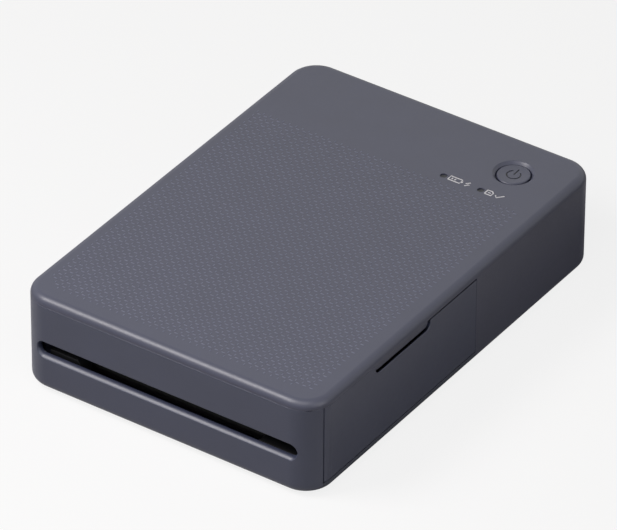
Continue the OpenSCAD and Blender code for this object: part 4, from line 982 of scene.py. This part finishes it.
def make_camera():
    """The camera at the photograph's angle, with its shift and focal length in the photo's pixels."""
    az, el, roll = (math.radians(a) for a in (CAM_AZ, CAM_EL, CAM_ROLL))
    back = Vector((math.sin(az) * math.cos(el), -math.cos(az) * math.cos(el), math.sin(el)))
    level = Vector((math.cos(az), math.sin(az), 0))
    upright_dir = back.cross(level)
    right = level * math.cos(roll) + upright_dir * math.sin(roll)
    up = upright_dir * math.cos(roll) - level * math.sin(roll)
    cam = bpy.data.objects.new("camera", bpy.data.cameras.new("camera"))
    bpy.context.scene.collection.objects.link(cam)
    rot = Matrix((right, up, back)).transposed().to_4x4()
    cam.matrix_world = Matrix.Translation((Vector((0, 0, CAM_TARGET_Z)) + back * CAM_DIST) * MM) @ rot
    cam.data.sensor_width = SENSOR
    cam.data.lens = CAM_FOCAL_PX * SENSOR / PHOTO_W
    cam.data.shift_x = -(CAM_CX - PHOTO_W / 2) / PHOTO_W
    cam.data.shift_y = (CAM_CY - PHOTO_H / 2) / PHOTO_W
    cam.data.clip_end = CAM_CLIP_M
    bpy.context.scene.camera = cam


def seen_directly(tree):
    """1 for what the camera sees, straight or in gloss or glass, and 0 for light that bounces on."""
    path = tree.nodes.new("ShaderNodeLightPath")
    value = path.outputs["Is Camera Ray"]
    for kind in ("Is Glossy Ray", "Is Transmission Ray"):
        node = tree.nodes.new("ShaderNodeMath")
        node.operation = "MAXIMUM"
        tree.links.new(value, node.inputs[0])
        tree.links.new(path.outputs[kind], node.inputs[1])
        value = node.outputs[0]
    return value


def make_floor():
    """A floor whose colour is near white where it is seen directly and grey for bounced light.

    For the camera alone most of it is a glow, and the lit rest keeps the object's shadow.
    """
    h = FLOOR_HALF
    floor = mesh_object("floor", [(-h, -h, 0), (h, -h, 0), (h, h, 0), (-h, h, 0)], [(0, 1, 2, 3)])
    floor.location.z = -FLOOR_DROP * MM
    mat = bpy.data.materials.new("floor")
    mat.use_nodes = True
    nodes, links = mat.node_tree.nodes, mat.node_tree.links
    shader = nodes["Principled BSDF"]
    shader.inputs["Roughness"].default_value = FLOOR_ROUGH
    shader.inputs["Specular IOR Level"].default_value = 0.0
    mix = nodes.new("ShaderNodeMix")
    mix.data_type = "RGBA"
    mix.inputs[6].default_value = FLOOR_FOR_LIGHT
    mix.inputs[7].default_value = FLOOR_WHEN_SEEN
    links.new(seen_directly(mat.node_tree), mix.inputs[0])
    links.new(mix.outputs[2], shader.inputs["Base Color"])
    glow = nodes.new("ShaderNodeEmission")
    glow.inputs["Strength"].default_value = 1.0
    path = nodes.new("ShaderNodeLightPath")
    blend = nodes.new("ShaderNodeMath")
    blend.operation = "MULTIPLY"
    blend.inputs[1].default_value = FLOOR_GLOW
    links.new(path.outputs["Is Camera Ray"], blend.inputs[0])
    both = nodes.new("ShaderNodeMixShader")
    links.new(blend.outputs[0], both.inputs[0])
    links.new(shader.outputs[0], both.inputs[1])
    links.new(glow.outputs[0], both.inputs[2])
    links.new(both.outputs[0], nodes["Material Output"].inputs["Surface"])
    floor.data.materials.append(mat)


def make_world():
    """A world that gives no light and is white where it is seen directly."""
    world = bpy.data.worlds.new("studio")
    bpy.context.scene.world = world
    world.use_nodes = True
    nodes, links = world.node_tree.nodes, world.node_tree.links
    back = nodes["Background"]
    mix = nodes.new("ShaderNodeMix")
    mix.data_type = "FLOAT"
    mix.inputs[2].default_value = 0.0
    mix.inputs[3].default_value = 1.0
    links.new(seen_directly(world.node_tree), mix.inputs[0])
    links.new(mix.outputs[0], back.inputs["Strength"])
    back.inputs["Color"].default_value = (1, 1, 1, 1)


def area_light(name, position, size, power, tint):
    """A square lamp that faces the object."""
    light = bpy.data.lights.new(name, "AREA")
    light.shape = "SQUARE"
    light.size = size
    light.energy = power
    light.color = tint
    obj = bpy.data.objects.new(name, light)
    bpy.context.scene.collection.objects.link(obj)
    obj.location = position
    direction = Vector(LAMP_TARGET) - Vector(position)
    obj.rotation_euler = direction.to_track_quat("-Z", "Y").to_euler()


bpy.context.scene.view_settings.view_transform = "Standard"
make_camera()
make_floor()
make_world()
for lamp in STUDIO_LAMPS:
    area_light(*lamp)
